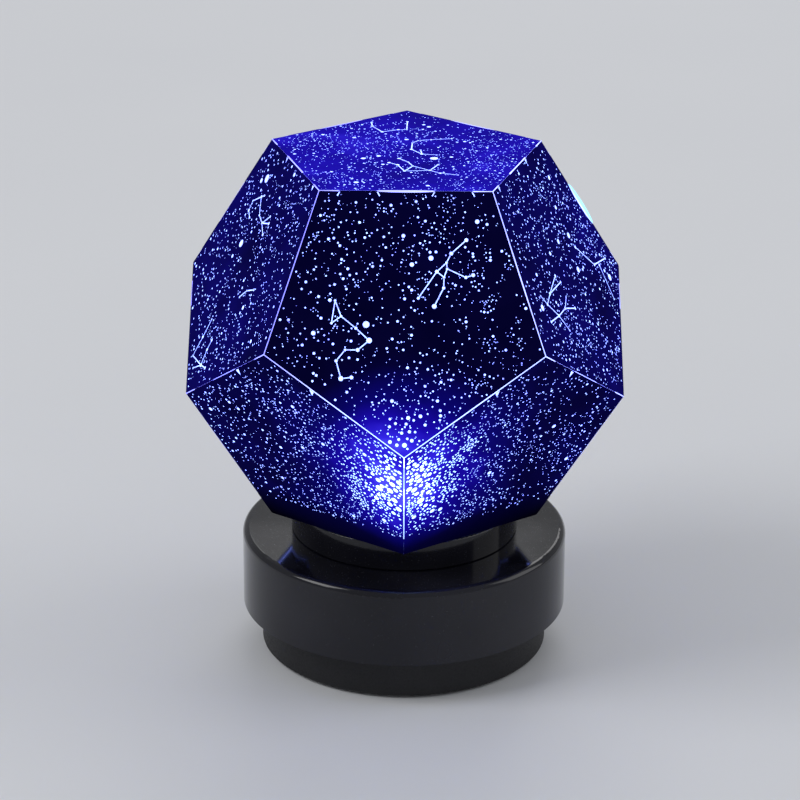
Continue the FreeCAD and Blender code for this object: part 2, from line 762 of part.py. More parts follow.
# ---------------------------------------------------------------------------------------------
# Base foot: the narrow drum with the battery well, the door slot and the screw seats
# ---------------------------------------------------------------------------------------------
def make_foot():
    tray = turned_body("foot_tray", [
        ("0", "PadProud"), ("FootRadius", "PadProud"), ("FootRadius", "DrumBottom"),
        ("DrumInside - FlangeGap", "DrumBottom"), ("DrumInside - FlangeGap", "FootTop"),
        ("FootInside", "FootTop"), ("FootInside", "FloorTop"), ("0", "FloorTop"),
    ])
    round_ring(tray, "FootRadius", "PadProud", "FootRound")
    walls = box(("-WellX - WellWall", "WellX + WellWall"), ("-WellY - WellWall", "WellY + WellWall"),
                ("FloorTop - 0.5", "RoofTop"))
    added = [tray, walls]
    rear = "FootRadius + 1"
    cuts = [
        box(("-WellX", "WellX"), ("-WellY", "WellY"), ("PadProud - 1", "WellTop")),
        box(("-DoorHalf - DoorGap", "DoorHalf + DoorGap"), ("-DoorFront - DoorGap", rear),
            ("PadProud - 1", "TongueBottom")),
        box(("-TongueHalf - DoorGap", "TongueHalf + DoorGap"), ("-DoorFront - DoorGap", rear),
            ("TongueBottom - DoorGap", "SlotTop")),
        box(("-UsbWidth / 2 - UsbGap", "UsbWidth / 2 + UsbGap"), ("FootInside - 1", rear),
            ("BoardTop - UsbGap", "BoardTop + UsbHeight + UsbGap")),
        # the lamp's lead passes down beside the well
        box(("-LeadRadius - 1", "LeadRadius + 1"), ("WellY + WellWall / 2", "WellY + WellWall + 1"),
            ("RoofTop - 1", "RoofTop + 1")),
        # the battery leads leave through the well's end walls
        rod_y("LeadRadius + LeadGap", ("WellY - 1", "WellY + WellWall + 1"), "SolderX", "SolderHeight"),
        rod_y("LeadRadius + LeadGap", ("-WellY - WellWall - 1", "-WellY + 1"), "-(SolderX)", "SolderHeight"),
    ]
    for x, y in corners("PostX", "PostY"):
        added.append(rod("PostRadius", ("FloorTop - 1", "PostTop"), x, y))
        cuts.append(rod("PadRadius + PadGap", ("PadProud - 1", "PadProud + PadRecess"), x, y))
        cuts.append(rod("ScrewHeadRadius + PadGap", ("PadProud", "SeatBottom"), x, y))
        cuts.append(rod("ScrewRadius + ScrewGap", ("SeatBottom - 1", "PostTop + 1"), x, y))
    for x, y in board_screw_places():
        added.append(rod("BoardPostRadius", ("FloorTop - 0.5", "BoardBottom"), x, y))
        cuts.append(rod("SmallScrewRadius + ScrewGap", ("FloorTop", "BoardBottom + 1"), x, y))
    for x, y in lamp_screw_places():
        cuts.append(rod("SmallScrewRadius + ScrewGap", ("WellTop - 1", "RoofTop + 1"), x, y))
    return cut(fuse(added), cuts, "base_foot")


def board_screw_places():
    return [(f"{side} * BoardScrewX", "BoardScrewY") for side in (-1, 1)]


def lamp_screw_places():
    return around(3, "LampScrewCircle", FRONT)


def make_housing_screws():
    screws = [screw("SeatBottom", x, y, "HousingScrewLength") for x, y in corners("PostX", "PostY")]
    return group(screws, "housing_screws")


def make_rubber_feet():
    pads = [rod("PadRadius", ("0", "PadProud + PadRecess"), x, y) for x, y in corners("PostX", "PostY")]
    return group(pads, "rubber_feet")


def make_door():
    """A plate with side tongues that slides out backwards, its outer end following the foot."""
    front = "-DoorFront"
    plate = box(("-DoorHalf", "DoorHalf"), (front, "FootRadius"), ("PadProud", "TongueTop"))
    tongues = box(("-TongueHalf", "TongueHalf"), (front, "FootRadius"), ("TongueBottom", "TongueTop"))
    skin = rod("FootRadius", ("PadProud - 1", "TongueTop + 1"))
    door = common(fuse([plate, tongues]), skin)
    grips = []
    for k in range(6):
        y = f"FootRadius - 6 - {k} * GripPitch"
        grips.append(rod_x("GripDepth", ("-DoorHalf / 2", "DoorHalf / 2"), y, "PadProud"))
    return cut(door, grips, "battery_door")


# ---------------------------------------------------------------------------------------------
# Battery: cells alternate in direction, each between a spring and a flat contact
# ---------------------------------------------------------------------------------------------
def cell_places():
    """Each cell's Y formula and the way its nub points along X."""
    return [(f"{k} * CellPitch", way) for k, way in ((-1, 1), (0, -1), (1, 1))]


def along(way, near, far):
    """Two X formulas in rising order, mirrored where the cell points the other way."""
    return (near, far) if way > 0 else (f"-({far})", f"-({near})")


def make_cell(name, y, way):
    tip = "(WellX - ContactThickness)"
    shoulder = f"({tip} - NubLength)"
    can = rod_x("CellRadius", along(way, f"{shoulder} - CellLength", shoulder), y, "CellHeight")
    nub = rod_x("NubRadius", along(way, shoulder, tip), y, "CellHeight")
    return fuse([can, nub], name)


def make_contacts():
    """Six plates; the pack's two end plates have a tab that a lead is soldered to."""
    plates = []
    for y, way in cell_places():
        for end in (way, -way):
            x = along(end, "WellX - ContactThickness", "WellX")
            plate = box(x, (f"{y} - ContactHalf", f"{y} + ContactHalf"),
                        ("CellHeight - ContactHalf", "CellHeight + ContactHalf"))
            if (y, end) in (("-1 * CellPitch", -1), ("1 * CellPitch", 1)):
                reach = (f"{y} + {end} * ContactHalf", f"{y} + {end} * (ContactHalf + SolderTab)")
                tab = box(x, reach[::end], ("SolderHeight - SolderTab / 2", "SolderHeight + SolderTab / 2"))
                plate = fuse([plate, tab])
            plates.append(plate)
    return group(plates, "battery_contacts")


def make_springs():
    springs = []
    for y, way in cell_places():
        coil = bind(doc.addObject("Part::Helix", "coil"), Pitch="SpringPitch",
                    Height="SpringLength - 2 * SpringWire", Radius="SpringRadius")
        coil.SegmentLength = 0.5
        wire = bind(doc.addObject("Part::Circle", "wire"), Radius="SpringWire")
        place(wire, "SpringRadius", 0, 0, Rotation(Vector(1, 0, 0), 90))
        spring = doc.addObject("Part::Sweep", "spring")
        spring.Sections = [wire]
        spring.Spine = (coil, [])
        spring.Solid = True
        spring.Frenet = True
        start = f"{-way} * (WellX - ContactThickness - SpringWire)"
        turn = Rotation(Vector(0, 1, 0), 90 * way)
        springs.append(place(spring, start, y, "CellHeight", turn))
    return group(springs, "battery_springs")


# ---------------------------------------------------------------------------------------------
# Main board with its parts
# ---------------------------------------------------------------------------------------------
def make_main_board():
    plate = box(("-BoardHalfWidth", "BoardHalfWidth"), ("BoardFront", "BoardRadius"),
                ("BoardBottom", "BoardTop"))
    plate = common(plate, rod("BoardRadius", ("BoardBottom", "BoardTop")))
    holes = [rod("SmallScrewRadius + ScrewGap", ("BoardBottom - 1", "BoardTop + 1"), x, y)
             for x, y in board_screw_places()]
    return cut(plate, holes, "main_board")


def connector(number, row):
    """The X and Y formulas of a lead's connector on the main board."""
    return f"{number} * ConnectorPitch", f"BoardFront + {row}"


MOTOR_CONNECTOR = connector(-1.5, "ConnectorRow")
LAMP_CONNECTOR = connector(-0.5, "ConnectorRow")
BUTTON_CONNECTOR = connector(0.5, "ConnectorRow")
BATTERY_CONNECTOR = connector(1.5, "BatteryRow")


def make_board_parts():
    """A control chip, a coil, two capacitors and the leads' four connectors."""
    def chip(x, y, half_x, half_y, height):
        return box((f"{x} - {half_x}", f"{x} + {half_x}"), (f"{y} - {half_y}", f"{y} + {half_y}"),
                   ("BoardTop", f"BoardTop + {height}"))

    # the chip and the coil stand beside the socket, however near the row comes to it
    parts = [chip("UsbWidth / 2 + PartGap + ChipHalf", "PartRow", "ChipHalf", "PartHalf", "PartHeight"),
             chip("-UsbWidth / 2 - PartGap - PartHalf", "PartRow", "PartHalf", "PartHalf", "PartHeight")]
    for x in ("-1.75 * ConnectorPitch", "1.75 * ConnectorPitch"):
        parts.append(rod("CapacitorRadius", ("BoardTop", "BoardTop + CapacitorHeight"), x, "PartRow"))
    for x, y in (MOTOR_CONNECTOR, LAMP_CONNECTOR, BUTTON_CONNECTOR, BATTERY_CONNECTOR):
        parts.append(chip(x, y, "ConnectorHalf", "ConnectorDepth / 2", "ConnectorHeight"))
    return group(parts, "board_parts")


def make_board_screws():
    screws = [screw("BoardTop", x, y, "BoardThickness + BoardRise - 0.5", small=True, upwards=False)
              for x, y in board_screw_places()]
    return group(screws, "board_screws")


def make_usb_socket():
    low = ("-UsbWidth / 2", "UsbWidth / 2")
    shell = box(low, ("UsbBack - UsbDepth", "UsbBack"), ("BoardTop", "BoardTop + UsbHeight"))
    mouth = box(("-UsbWidth / 2 + UsbShell", "UsbWidth / 2 - UsbShell"),
                ("UsbBack - UsbDepth + 2 * UsbShell", "UsbBack + 1"),
                ("BoardTop + UsbShell", "BoardTop + UsbHeight - UsbShell"))
    tongue = box(("-UsbWidth / 4", "UsbWidth / 4"),
                 ("UsbBack - UsbDepth + UsbShell", "UsbBack - 2 * UsbShell"),
                 ("BoardTop + (UsbHeight - UsbTongue) / 2", "BoardTop + (UsbHeight + UsbTongue) / 2"))
    return fuse([cut(shell, [mouth]), tongue], "usb_socket")


# ---------------------------------------------------------------------------------------------
# Lamp on its fixed post
# ---------------------------------------------------------------------------------------------
def make_lamp_post():
    tube = turned_body("post_tube", [
        ("LampPostBore", "RoofTop"), ("LampFlangeRadius", "RoofTop"),
        ("LampFlangeRadius", "RoofTop + LampFlangeThickness"),
        ("LampPostRadius", "RoofTop + LampFlangeThickness"),
        ("LampPostRadius", "LampPostTop"), ("LampPostBore", "LampPostTop"),
    ])
    holes = [rod("SmallScrewRadius + ScrewGap", ("RoofTop - 1", "RoofTop + LampFlangeThickness + 1"), x, y)
             for x, y in lamp_screw_places()]
    door = box(("-LeadRadius - 1", "LeadRadius + 1"), ("0", "LampFlangeRadius + 1"),
               ("RoofTop - 1", "RoofTop + LampFlangeThickness + 2"))
    return cut(tube, holes + [door], "lamp_post")


def make_post_screws():
    screws = [screw("RoofTop + LampFlangeThickness", x, y, "LampFlangeThickness + WellWall - 0.2",
                    small=True, upwards=False) for x, y in lamp_screw_places()]
    return group(screws, "post_screws")


def make_lamp_cup():
    spigot = "LampPostBore - WingGap"
    disc = turned_body("cup_disc", [
        (f"{spigot} - 1.5", "LampPostTop - LampCupSpigot"), (spigot, "LampPostTop - LampCupSpigot"),
        (spigot, "LampPostTop"), ("LampCupRadius", "LampPostTop"), ("LampCupRadius", "LampTop"),
        (f"{spigot} - 1.5", "LampTop"),
    ])
    disc.Label = "lamp_cup"
    return disc


def make_lamp_board():
    disc = rod("LampBoardRadius", ("LampTop", "LampBoardTop"))
    hole = rod("LeadRadius", ("LampTop - 1", "LampBoardTop + 1"), 0, "LampPostBore - 2 * LeadRadius")
    return cut(disc, [hole], "lamp_board")


def make_lamp_chip():
    case = box(("-ChipHalf", "ChipHalf"), ("-ChipHalf", "ChipHalf"),
               ("LampBoardTop", "LampBoardTop + ChipHeight"))
    lens = bind(doc.addObject("Part::Sphere", "lens"), Radius="LensRadius")
    lens.Angle1 = 0
    place(lens, 0, 0, "LampBoardTop + ChipHeight")
    return fuse([case, lens], "lamp_chip")


def make_lamp_dome():
    outer = bind(doc.addObject("Part::Sphere", "dome_outside"), Radius="DomeRadius")
    inner = bind(doc.addObject("Part::Sphere", "dome_inside"), Radius="DomeRadius - DomeWall")
    for ball in (outer, inner):
        ball.Angle1 = 0
        place(ball, 0, 0, "LampTop")
    return cut(outer, [inner], "lamp_dome")


# ---------------------------------------------------------------------------------------------
# Leads inside the base: straight runs joined by tangent arcs
# ---------------------------------------------------------------------------------------------
def make_lead(name, route, bend):
    """A round lead along a route of formula triples, with every corner bent to one radius."""
    spots = [Vector(*(value(text) for text in spot)) for spot in route]
    bend = value(bend)
    edges = []
    here = spots[0]
    for before, corner, after in zip(spots, spots[1:], spots[2:]):
        back = (before - corner).normalize()
        ahead = (after - corner).normalize()
        half = (math.pi - back.getAngle(ahead)) / 2
        trim = bend * math.tan(half)
        middle = corner + (back + ahead).normalize() * (bend / math.cos(half) - bend)
        enter = corner + back * trim
        leave = corner + ahead * trim
        edges.append(Part.LineSegment(here, enter).toShape())
        edges.append(Part.Arc(enter, middle, leave).toShape())
        here = leave
    edges.append(Part.LineSegment(here, spots[-1]).toShape())
    path = Part.Wire(edges)
    radius = value("LeadRadius")
    ring = Part.Wire(Part.makeCircle(radius, spots[0], spots[1] - spots[0]))
    item = doc.addObject("Part::Feature", name)
    item.Shape = path.makePipeShell([ring], True, True)
    share = item.Shape.Volume / (math.pi * radius ** 2 * path.Length)
    print(f"{name}: {path.Length:.1f} mm long, bend {bend} mm, volume share {share:.4f}")
    return item


def make_leads():
    top = "BoardTop + ConnectorHeight"
    shelf = "RoofTop + 3 * LeadRadius"
    lamp = make_lead("lamp_lead", [
        (0, 0, "LampTop - LeadGap"), (0, 0, shelf), (0, "WellY + 2 * WellWall", shelf),
        (*LAMP_CONNECTOR, f"{top} + 5"), (*LAMP_CONNECTOR, top)], "LeadBend")
    level = "MotorBottom + 3"
    motor = make_lead("motor_lead", [
        ("-GearSpread", "MotorRadius", level), ("-GearSpread", "WellY - 4", level),
        (*MOTOR_CONNECTOR, level), (*MOTOR_CONNECTOR, top)], "LeadBend")
    button = make_lead("button_lead", [
        (BUTTON_CONNECTOR[0], "SwitchBack - BoardThickness", "ButtonZ"),
        (*BUTTON_CONNECTOR, "ButtonZ"), (*BUTTON_CONNECTOR, top)], "LeadBend")
    x, y = BATTERY_CONNECTOR
    beside = "-WellX - WellWall - LeadGap - 3 * LeadRadius"
    before = "-WellY - WellWall - LeadGap - 3 * LeadRadius"
    plus = make_lead("battery_plus", [
        ("SolderX", "SolderY", "SolderHeight"), ("SolderX", y, "SolderHeight"),
        (f"{x} + 1.1 * LeadRadius", y, "SolderHeight"), (f"{x} + 1.1 * LeadRadius", y, top)], "LeadBend")
    minus = make_lead("battery_minus", [
        ("-(SolderX)", "-(SolderY)", "SolderHeight"), ("-(SolderX)", before, "SolderHeight"),
        (beside, before, "SolderHeight"), (beside, y, "SolderHeight"),
        (f"{x} - 1.1 * LeadRadius", y, "SolderHeight"), (f"{x} - 1.1 * LeadRadius", y, top)], "LeadBend")
    return [lamp, motor, button, group([plus, minus], "battery_lead")]


# ---------------------------------------------------------------------------------------------
# The whole lamp
# ---------------------------------------------------------------------------------------------
nodes = make_shade()
nodes += [make_holder(), make_holder_screws(), make_turntable(), make_washer()]
nodes += [make_drive_gear(), make_gear_screws(), make_pinion(), make_motor_shaft(), make_motor_case()]
nodes += [make_motor_screws(), make_housing(), make_foot(), make_housing_screws(), make_rubber_feet()]
nodes += [make_door(), make_contacts(), make_springs(), make_main_board(), make_board_parts()]
nodes += [make_board_screws(), make_usb_socket(), make_button_board(), make_switches()]
nodes += [make_lamp_post(), make_post_screws(), make_lamp_cup(), make_lamp_board(), make_lamp_chip()]
nodes += [make_lamp_dome()]
for number, (y, way) in enumerate(cell_places(), start=1):
    nodes.append(make_cell(f"battery_cell_{number}", y, way))
for k, name in ((-1, "power"), (0, "colour"), (1, "spin")):
    nodes.append(make_button(f"{name}_button", k))
    nodes.append(make_plunger(f"{name}_plunger", k))
nodes += make_leads()
doc.recompute()

for item in doc.Objects:
    if {"Invalid", "Error"} & set(item.State):
        raise RuntimeError(f"{item.Label} failed: {item.State}")
for node in nodes:
    if node.Shape.isNull() or not node.Shape.isValid() or not node.Shape.Solids:
        raise RuntimeError(f"{node.Label} has no sound shape")

os.makedirs("parts", exist_ok=True)
for node in nodes:
    node.Shape.exportStep(f"parts/{node.Label}.step")
print(len(nodes), "nodes written")
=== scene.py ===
import json
import math

import bpy
import numpy as np
from mathutils import Matrix, Vector, noise
from mathutils.geometry import delaunay_2d_cdt


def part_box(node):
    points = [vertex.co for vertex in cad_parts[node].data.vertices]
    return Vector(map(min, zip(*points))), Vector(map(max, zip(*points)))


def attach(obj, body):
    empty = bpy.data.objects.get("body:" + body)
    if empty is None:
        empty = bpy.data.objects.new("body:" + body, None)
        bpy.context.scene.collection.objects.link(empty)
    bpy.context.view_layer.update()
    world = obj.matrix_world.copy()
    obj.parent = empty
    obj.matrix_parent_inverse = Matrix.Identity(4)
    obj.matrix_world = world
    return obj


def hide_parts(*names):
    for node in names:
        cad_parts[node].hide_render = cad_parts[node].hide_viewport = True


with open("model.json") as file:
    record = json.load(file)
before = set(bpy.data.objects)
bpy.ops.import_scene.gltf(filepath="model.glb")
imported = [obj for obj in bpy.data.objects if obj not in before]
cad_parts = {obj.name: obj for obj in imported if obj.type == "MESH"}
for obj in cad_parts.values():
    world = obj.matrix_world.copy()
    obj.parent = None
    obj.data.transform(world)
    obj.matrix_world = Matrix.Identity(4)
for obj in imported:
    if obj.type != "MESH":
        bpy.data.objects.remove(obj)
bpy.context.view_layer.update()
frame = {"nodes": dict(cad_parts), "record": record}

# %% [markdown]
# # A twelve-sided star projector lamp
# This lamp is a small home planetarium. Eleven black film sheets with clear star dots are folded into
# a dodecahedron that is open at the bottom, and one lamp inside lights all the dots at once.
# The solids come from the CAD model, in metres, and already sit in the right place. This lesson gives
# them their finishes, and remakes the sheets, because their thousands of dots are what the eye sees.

MM = 0.001

# %% [markdown]
# ## Shader maths as Python
# A finish is a tree of nodes. It could be wired node by node, but that hides the idea, so one small
# class wraps a node's output, and Python's own operators then add the Math nodes.

# %% Values
class Value:
    """A number or colour that varies over a surface, which Python's operators work on."""

    def __init__(self, finish, socket):
        self.finish = finish
        self.socket = socket

    def maths(self, operation, *numbers):
        return self.finish.node("ShaderNodeMath", {"operation": operation}, dict(enumerate(numbers)))

    def __add__(self, other):
        return self.maths("ADD", self, other)

    def __sub__(self, other):
        return self.maths("SUBTRACT", self, other)

    def __rsub__(self, other):
        return self.maths("SUBTRACT", other, self)

    def __mul__(self, other):
        return self.maths("MULTIPLY", self, other)

    __radd__ = __add__
    __rmul__ = __mul__

    def between(self, low, high):
        """0 below low, 1 above high and smooth between; low may be the larger."""
        if low > high:
            return 1 - self.between(high, low)
        return self.finish.node("ShaderNodeMapRange", {"interpolation_type": "SMOOTHSTEP"},
                                {"Value": self, "From Min": low, "From Max": high})


print("values can be added, multiplied and stepped")

# %% [markdown]
# ## One material, one object
# A second class holds one material with its Principled shader. Every finish below needs the same few
# nodes, so each kind of node is a short method that gives back a Value. What stays the same all over a
# piece is set on the shader's own sockets, and only what varies is plugged in.

# %% Finishes
class Finish:
    """One material and its Principled shader."""

    def __init__(self, name, **constants):
        self.material = bpy.data.materials.new(name)
        self.material.use_nodes = True
        self.tree = self.material.node_tree
        self.shader = self.tree.nodes["Principled BSDF"]
        for socket, constant in constants.items():
            self.shader.inputs[socket.replace("_", " ")].default_value = constant
        self.at = self.node("ShaderNodeTexCoord", output="Object")

    def feed(self, socket, what):
        if isinstance(what, Value):
            self.tree.links.new(what.socket, socket)
        elif isinstance(what, tuple) and len(what) == 3 and socket.type == "RGBA":
            socket.default_value = (*what, 1)
        else:
            socket.default_value = what

    def node(self, kind, settings=None, inputs=None, output=0):
        made = self.tree.nodes.new(kind)
        for name, setting in (settings or {}).items():
            if name == "stops":
                stops = made.color_ramp.elements
                stops[0].position, stops[1].position = setting[0][0], setting[-1][0]
                for spot, colour in setting[1:-1]:
                    stops.new(spot)
                for stop, (spot, colour) in zip(stops, setting):
                    stop.color = (*colour, 1)
            else:
                setattr(made, name, setting)
        for name, what in (inputs or {}).items():
            self.feed(made.inputs[name], what)
        return Value(self, made.outputs[output])

    def noise(self, scale, detail=3.0, at=None):
        inputs = {"Vector": at or self.at, "Scale": scale, "Detail": detail}
        return self.node("ShaderNodeTexNoise", None, inputs, "Fac")

    def mix(self, factor, first, second):
        return self.node("ShaderNodeMix", {"data_type": "RGBA"}, {0: factor, 6: first, 7: second}, 2)

    def ramp(self, factor, stops):
        return self.node("ShaderNodeValToRGB", {"stops": stops}, {"Fac": factor}, "Color")

    def axis(self, name):
        return self.node("ShaderNodeSeparateXYZ", None, {"Vector": self.at}, name)

    def distance(self, spot):
        return self.node("ShaderNodeVectorMath", {"operation": "DISTANCE"}, {0: self.at, 1: spot}, "Value")

    def bump(self, height, strength, depth):
        inputs = {"Height": height, "Strength": strength, "Distance": depth}
        self.set(Normal=self.node("ShaderNodeBump", None, inputs))

    def set(self, **inputs):
        for name, what in inputs.items():
            self.feed(self.shader.inputs[name.replace("_", " ")], what)


print("finishes can be made")

# %% [markdown]
# ## Plastics
# The base is injection moulded. A polished mould gives the drum its piano-black gloss, which still
# shows a soft ripple, hair-fine wiping scratches and a little dust. A spark-eroded mould gives the
# foot and the door their fine even grain. Pictures of scratches and grain would need the surface laid
# flat first, so noise on Object coordinates is used: it has no seams and stays sharp from close by.

# %% Moulded plastics
def glossy_plastic(name, colour, roughness=0.09):
    """Piano black: a deep colour under a hard gloss, with wiping scratches and dust."""
    finish = Finish(name, IOR=1.5, Specular_IOR_Level=0.34, Coat_Weight=0.12, Coat_Roughness=0.03)
    wide = finish.noise(22, 2)
    fine = finish.noise(900, 4)
    dust = finish.noise(2600, 1).between(0.72, 0.80)
    stretched = finish.node("ShaderNodeMapping", None, {"Vector": finish.at, "Scale": (60, 900, 300)})
    wipes = finish.noise(2.2, 5, stretched).between(0.60, 0.74)
    worn = tuple(1.7 * c + 0.004 for c in colour)
    base = finish.mix(wide.between(0.35, 0.7), colour, worn)
    finish.set(Base_Color=finish.mix(dust * 0.35, base, (0.22, 0.23, 0.26)))
    finish.set(Roughness=wide.between(0.3, 0.75) * 0.05 + wipes * 0.10 + dust * 0.35 + roughness)
    finish.bump(wide * 0.5 + fine * 0.02, 0.10, 0.0006)
    return finish.material


def grained_plastic(name, colour, roughness=0.5, grain=1500):
    """Fine spark-eroded grain, slightly smoother in some patches and paler in others."""
    finish = Finish(name, IOR=1.48, Specular_IOR_Level=0.4)
    cells = finish.node("ShaderNodeTexVoronoi", None, {"Vector": finish.at, "Scale": grain}, "Distance")
    cloud = finish.noise(45, 3)
    pale = tuple(1.5 * c + 0.006 for c in colour)
    finish.set(Base_Color=finish.mix(cloud.between(0.4, 0.75) * 0.6, colour, pale))
    finish.set(Roughness=cells * 0.25 + cloud * 0.12 + (roughness - 0.15))
    finish.bump(cells, 0.35, 0.00006)
    return finish.material


print("plastics are ready")

# %% [markdown]
# ## Metals
# The inside shows only when the base is opened, but each piece still looks like what it is made of.
# Screws, springs, the motor's can and the socket's shell are plated steel. Drawing and turning leave
# fine lines one way, which noise gives once a Mapping node stretches it along the piece.

# %% Metals
def drawn_metal(name, colour, roughness=0.3, lines=(30, 1800, 1800)):
    """Plated metal with faint lines along the way it was drawn or turned."""
    finish = Finish(name, IOR=2.2)
    stretched = finish.node("ShaderNodeMapping", None, {"Vector": finish.at, "Scale": lines})
    streaks = finish.noise(1.0, 4, stretched)
    cloud = finish.noise(120, 3)
    dull = tuple(0.72 * c for c in colour)
    finish.set(Base_Color=finish.mix(cloud.between(0.35, 0.7) * 0.5, colour, dull))
    finish.set(Metallic=0.95 - cloud * 0.1, Roughness=streaks * 0.22 + (roughness - 0.1))
    finish.bump(streaks, 0.12, 0.00004)
    return finish.material


print("metals are ready")

# %% [markdown]
# ## Rubber, boards and cells
# The feet and the leads' sleeves are soft and dull. A board is solder mask over copper tracks, and a
# battery cell has a printed sleeve that leaves both ends bare. The tracks could be modelled, but they
# are thinner than a hair and lie deep in the base, so square noise cells draw them instead.

# %% Rubber, boards and cells
def soft_rubber(name, colour):
    finish = Finish(name, IOR=1.45, Specular_IOR_Level=0.3)
    speck = finish.noise(1600, 5)
    finish.set(Base_Color=finish.mix(speck.between(0.5, 0.75) * 0.7, colour, tuple(c + 0.03 for c in colour)))
    finish.set(Roughness=speck * 0.2 + 0.62)
    finish.bump(speck, 0.3, 0.00008)
    return finish.material


def circuit_board(name, colour, track_colour):
    """Solder mask over copper: tracks follow the edges of square cells."""
    finish = Finish(name, IOR=1.5, Coat_Weight=0.2)
    settings = {"feature": "F1", "distance": "CHEBYCHEV"}
    inputs = {"Vector": finish.at, "Scale": 380, "Randomness": 0.6}
    cells = finish.node("ShaderNodeTexVoronoi", settings, inputs, "Distance")
    track = cells.between(0.46, 0.52) * (1 - cells.between(0.60, 0.66))
    weave = finish.noise(2400, 2)
    finish.set(Base_Color=finish.mix(track, finish.mix(weave * 0.3, colour, track_colour), track_colour))
    finish.set(Roughness=0.28 + weave * 0.15)
    finish.bump(track, 0.4, 0.00004)
    return finish.material


def cell_sleeve(name, colour):
    """A plain shrink sleeve over the can, bare steel at both ends."""
    finish = Finish(name, IOR=1.6, Coat_Weight=0.3)
    across = finish.axis("X")
    low_end, high_end, fade = -0.0215, 0.0255, 0.0007
    ends = across.between(high_end, high_end + fade) + across.between(low_end, low_end - fade)
    band_start, band_end, crisp = 0.0100, 0.0245, 0.0002
    past_band = across.between(band_end, band_end + crisp)
    band = across.between(band_start, band_start + crisp) * (1 - past_band)
    cloud = finish.noise(300, 3)
    sleeve = finish.mix(band, colour, (0.62, 0.42, 0.16))
    scuffed = finish.mix(cloud * 0.3, sleeve, (0.3, 0.3, 0.34))
    finish.set(Base_Color=finish.mix(ends, scuffed, (0.6, 0.6, 0.6)))
    finish.set(Metallic=ends * 0.9, Roughness=0.26 + cloud * 0.12)
    finish.bump(cloud, 0.05, 0.0001)
    return finish.material


print("rubber and boards are ready")

# %% [markdown]
# ## The lamp
# The lamp is a blue-white LED under a frosted dome. The dome scatters the light, so it glows all over
# and is brightest over the chip. Real light that passes through frosted plastic takes long to render,
# so the glow is an emission colour, and its strength stays a plain number.

# %% Lamp dome
LAMP_HEART = (0.0, 0.0, 0.060)


def glowing_dome(name):
    """Frosted plastic that is brightest within four millimetres of the lamp's heart."""
    finish = Finish(name, IOR=1.49, Emission_Strength=7.0)
    frost = finish.noise(1400, 4)
    glow = finish.distance(LAMP_HEART).between(0.0185, 0.004)
    finish.set(Base_Color=finish.mix(frost * 0.3, (0.72, 0.82, 0.95), (0.95, 0.97, 1.0)))
    finish.set(Emission_Color=finish.mix(glow, (0.16, 0.30, 1.0), (0.75, 0.9, 1.0)))
    finish.set(Roughness=0.45 + frost * 0.2)
    finish.bump(frost, 0.25, 0.00008)
    finish.material.cycles.emission_sampling = "NONE"
    return finish.material


print("the lamp's finish is ready")

# %% [markdown]
# ## Finishes on the CAD nodes
# Each node could be dressed by name, but the record already gives every node a material slot, so one
# table of finishes, one for each slot, dresses them all.

# %% Dress the CAD nodes
FINISHES = {
    "sheet_film": grained_plastic("sheet_backing", (0.010, 0.010, 0.022)),
    "base_plastic": glossy_plastic("piano_black", (0.0035, 0.0035, 0.0070)),
    "foot_plastic": grained_plastic("grained_black", (0.008, 0.008, 0.010), 0.52),
    "inner_plastic": grained_plastic("plain_dark_plastic", (0.03, 0.03, 0.034), 0.55, 900),
    "white_plastic": grained_plastic("plain_white_plastic", (0.78, 0.78, 0.75), 0.45, 900),
    "frosted_plastic": glowing_dome("frosted_glow"),
    "gear_plastic": grained_plastic("natural_acetal", (0.74, 0.71, 0.62), 0.4, 1200),
    "rubber": soft_rubber("black_rubber", (0.02, 0.02, 0.02)),
    "screw_steel": drawn_metal("zinc_plated_steel", (0.55, 0.56, 0.58), 0.34),
    "spring_steel": drawn_metal("nickel_spring_wire", (0.66, 0.64, 0.58), 0.22),
    "motor_steel": drawn_metal("plated_motor_can", (0.50, 0.50, 0.52), 0.36, (1800, 1800, 30)),
    "socket_steel": drawn_metal("drawn_socket_shell", (0.60, 0.60, 0.62), 0.25),
    "board_green": circuit_board("green_solder_mask", (0.010, 0.075, 0.035), (0.03, 0.17, 0.08)),
    "board_white": circuit_board("white_solder_mask", (0.72, 0.72, 0.70), (0.82, 0.82, 0.80)),
    "part_black": grained_plastic("component_black", (0.018, 0.018, 0.018), 0.48, 2200),
    "cell_sleeve": cell_sleeve("plain_cell_sleeve", (0.03, 0.05, 0.12)),
    "lead_sleeve": soft_rubber("lead_insulation", (0.02, 0.03, 0.09)),
}


def dress(piece, material):
    piece.data.materials.clear()
    piece.data.materials.append(material)


for part in frame["record"]["subparts"]:
    dress(frame["nodes"][part["node"]], FINISHES[part["material_slot"]])

# %% [markdown]
# ## The sheets: clear film under black print
# A sheet is clear film with black ink on its outer face. The ink leaves out every star, every
# constellation line and a hair-thin strip along the folds, and the film glows there with the light
# from inside. Painting the dots as a picture would blur them, so the ink is a real layer with real
# holes in it, and the glowing film lies right under it. The film is half clear, so the dome shows
# through it.

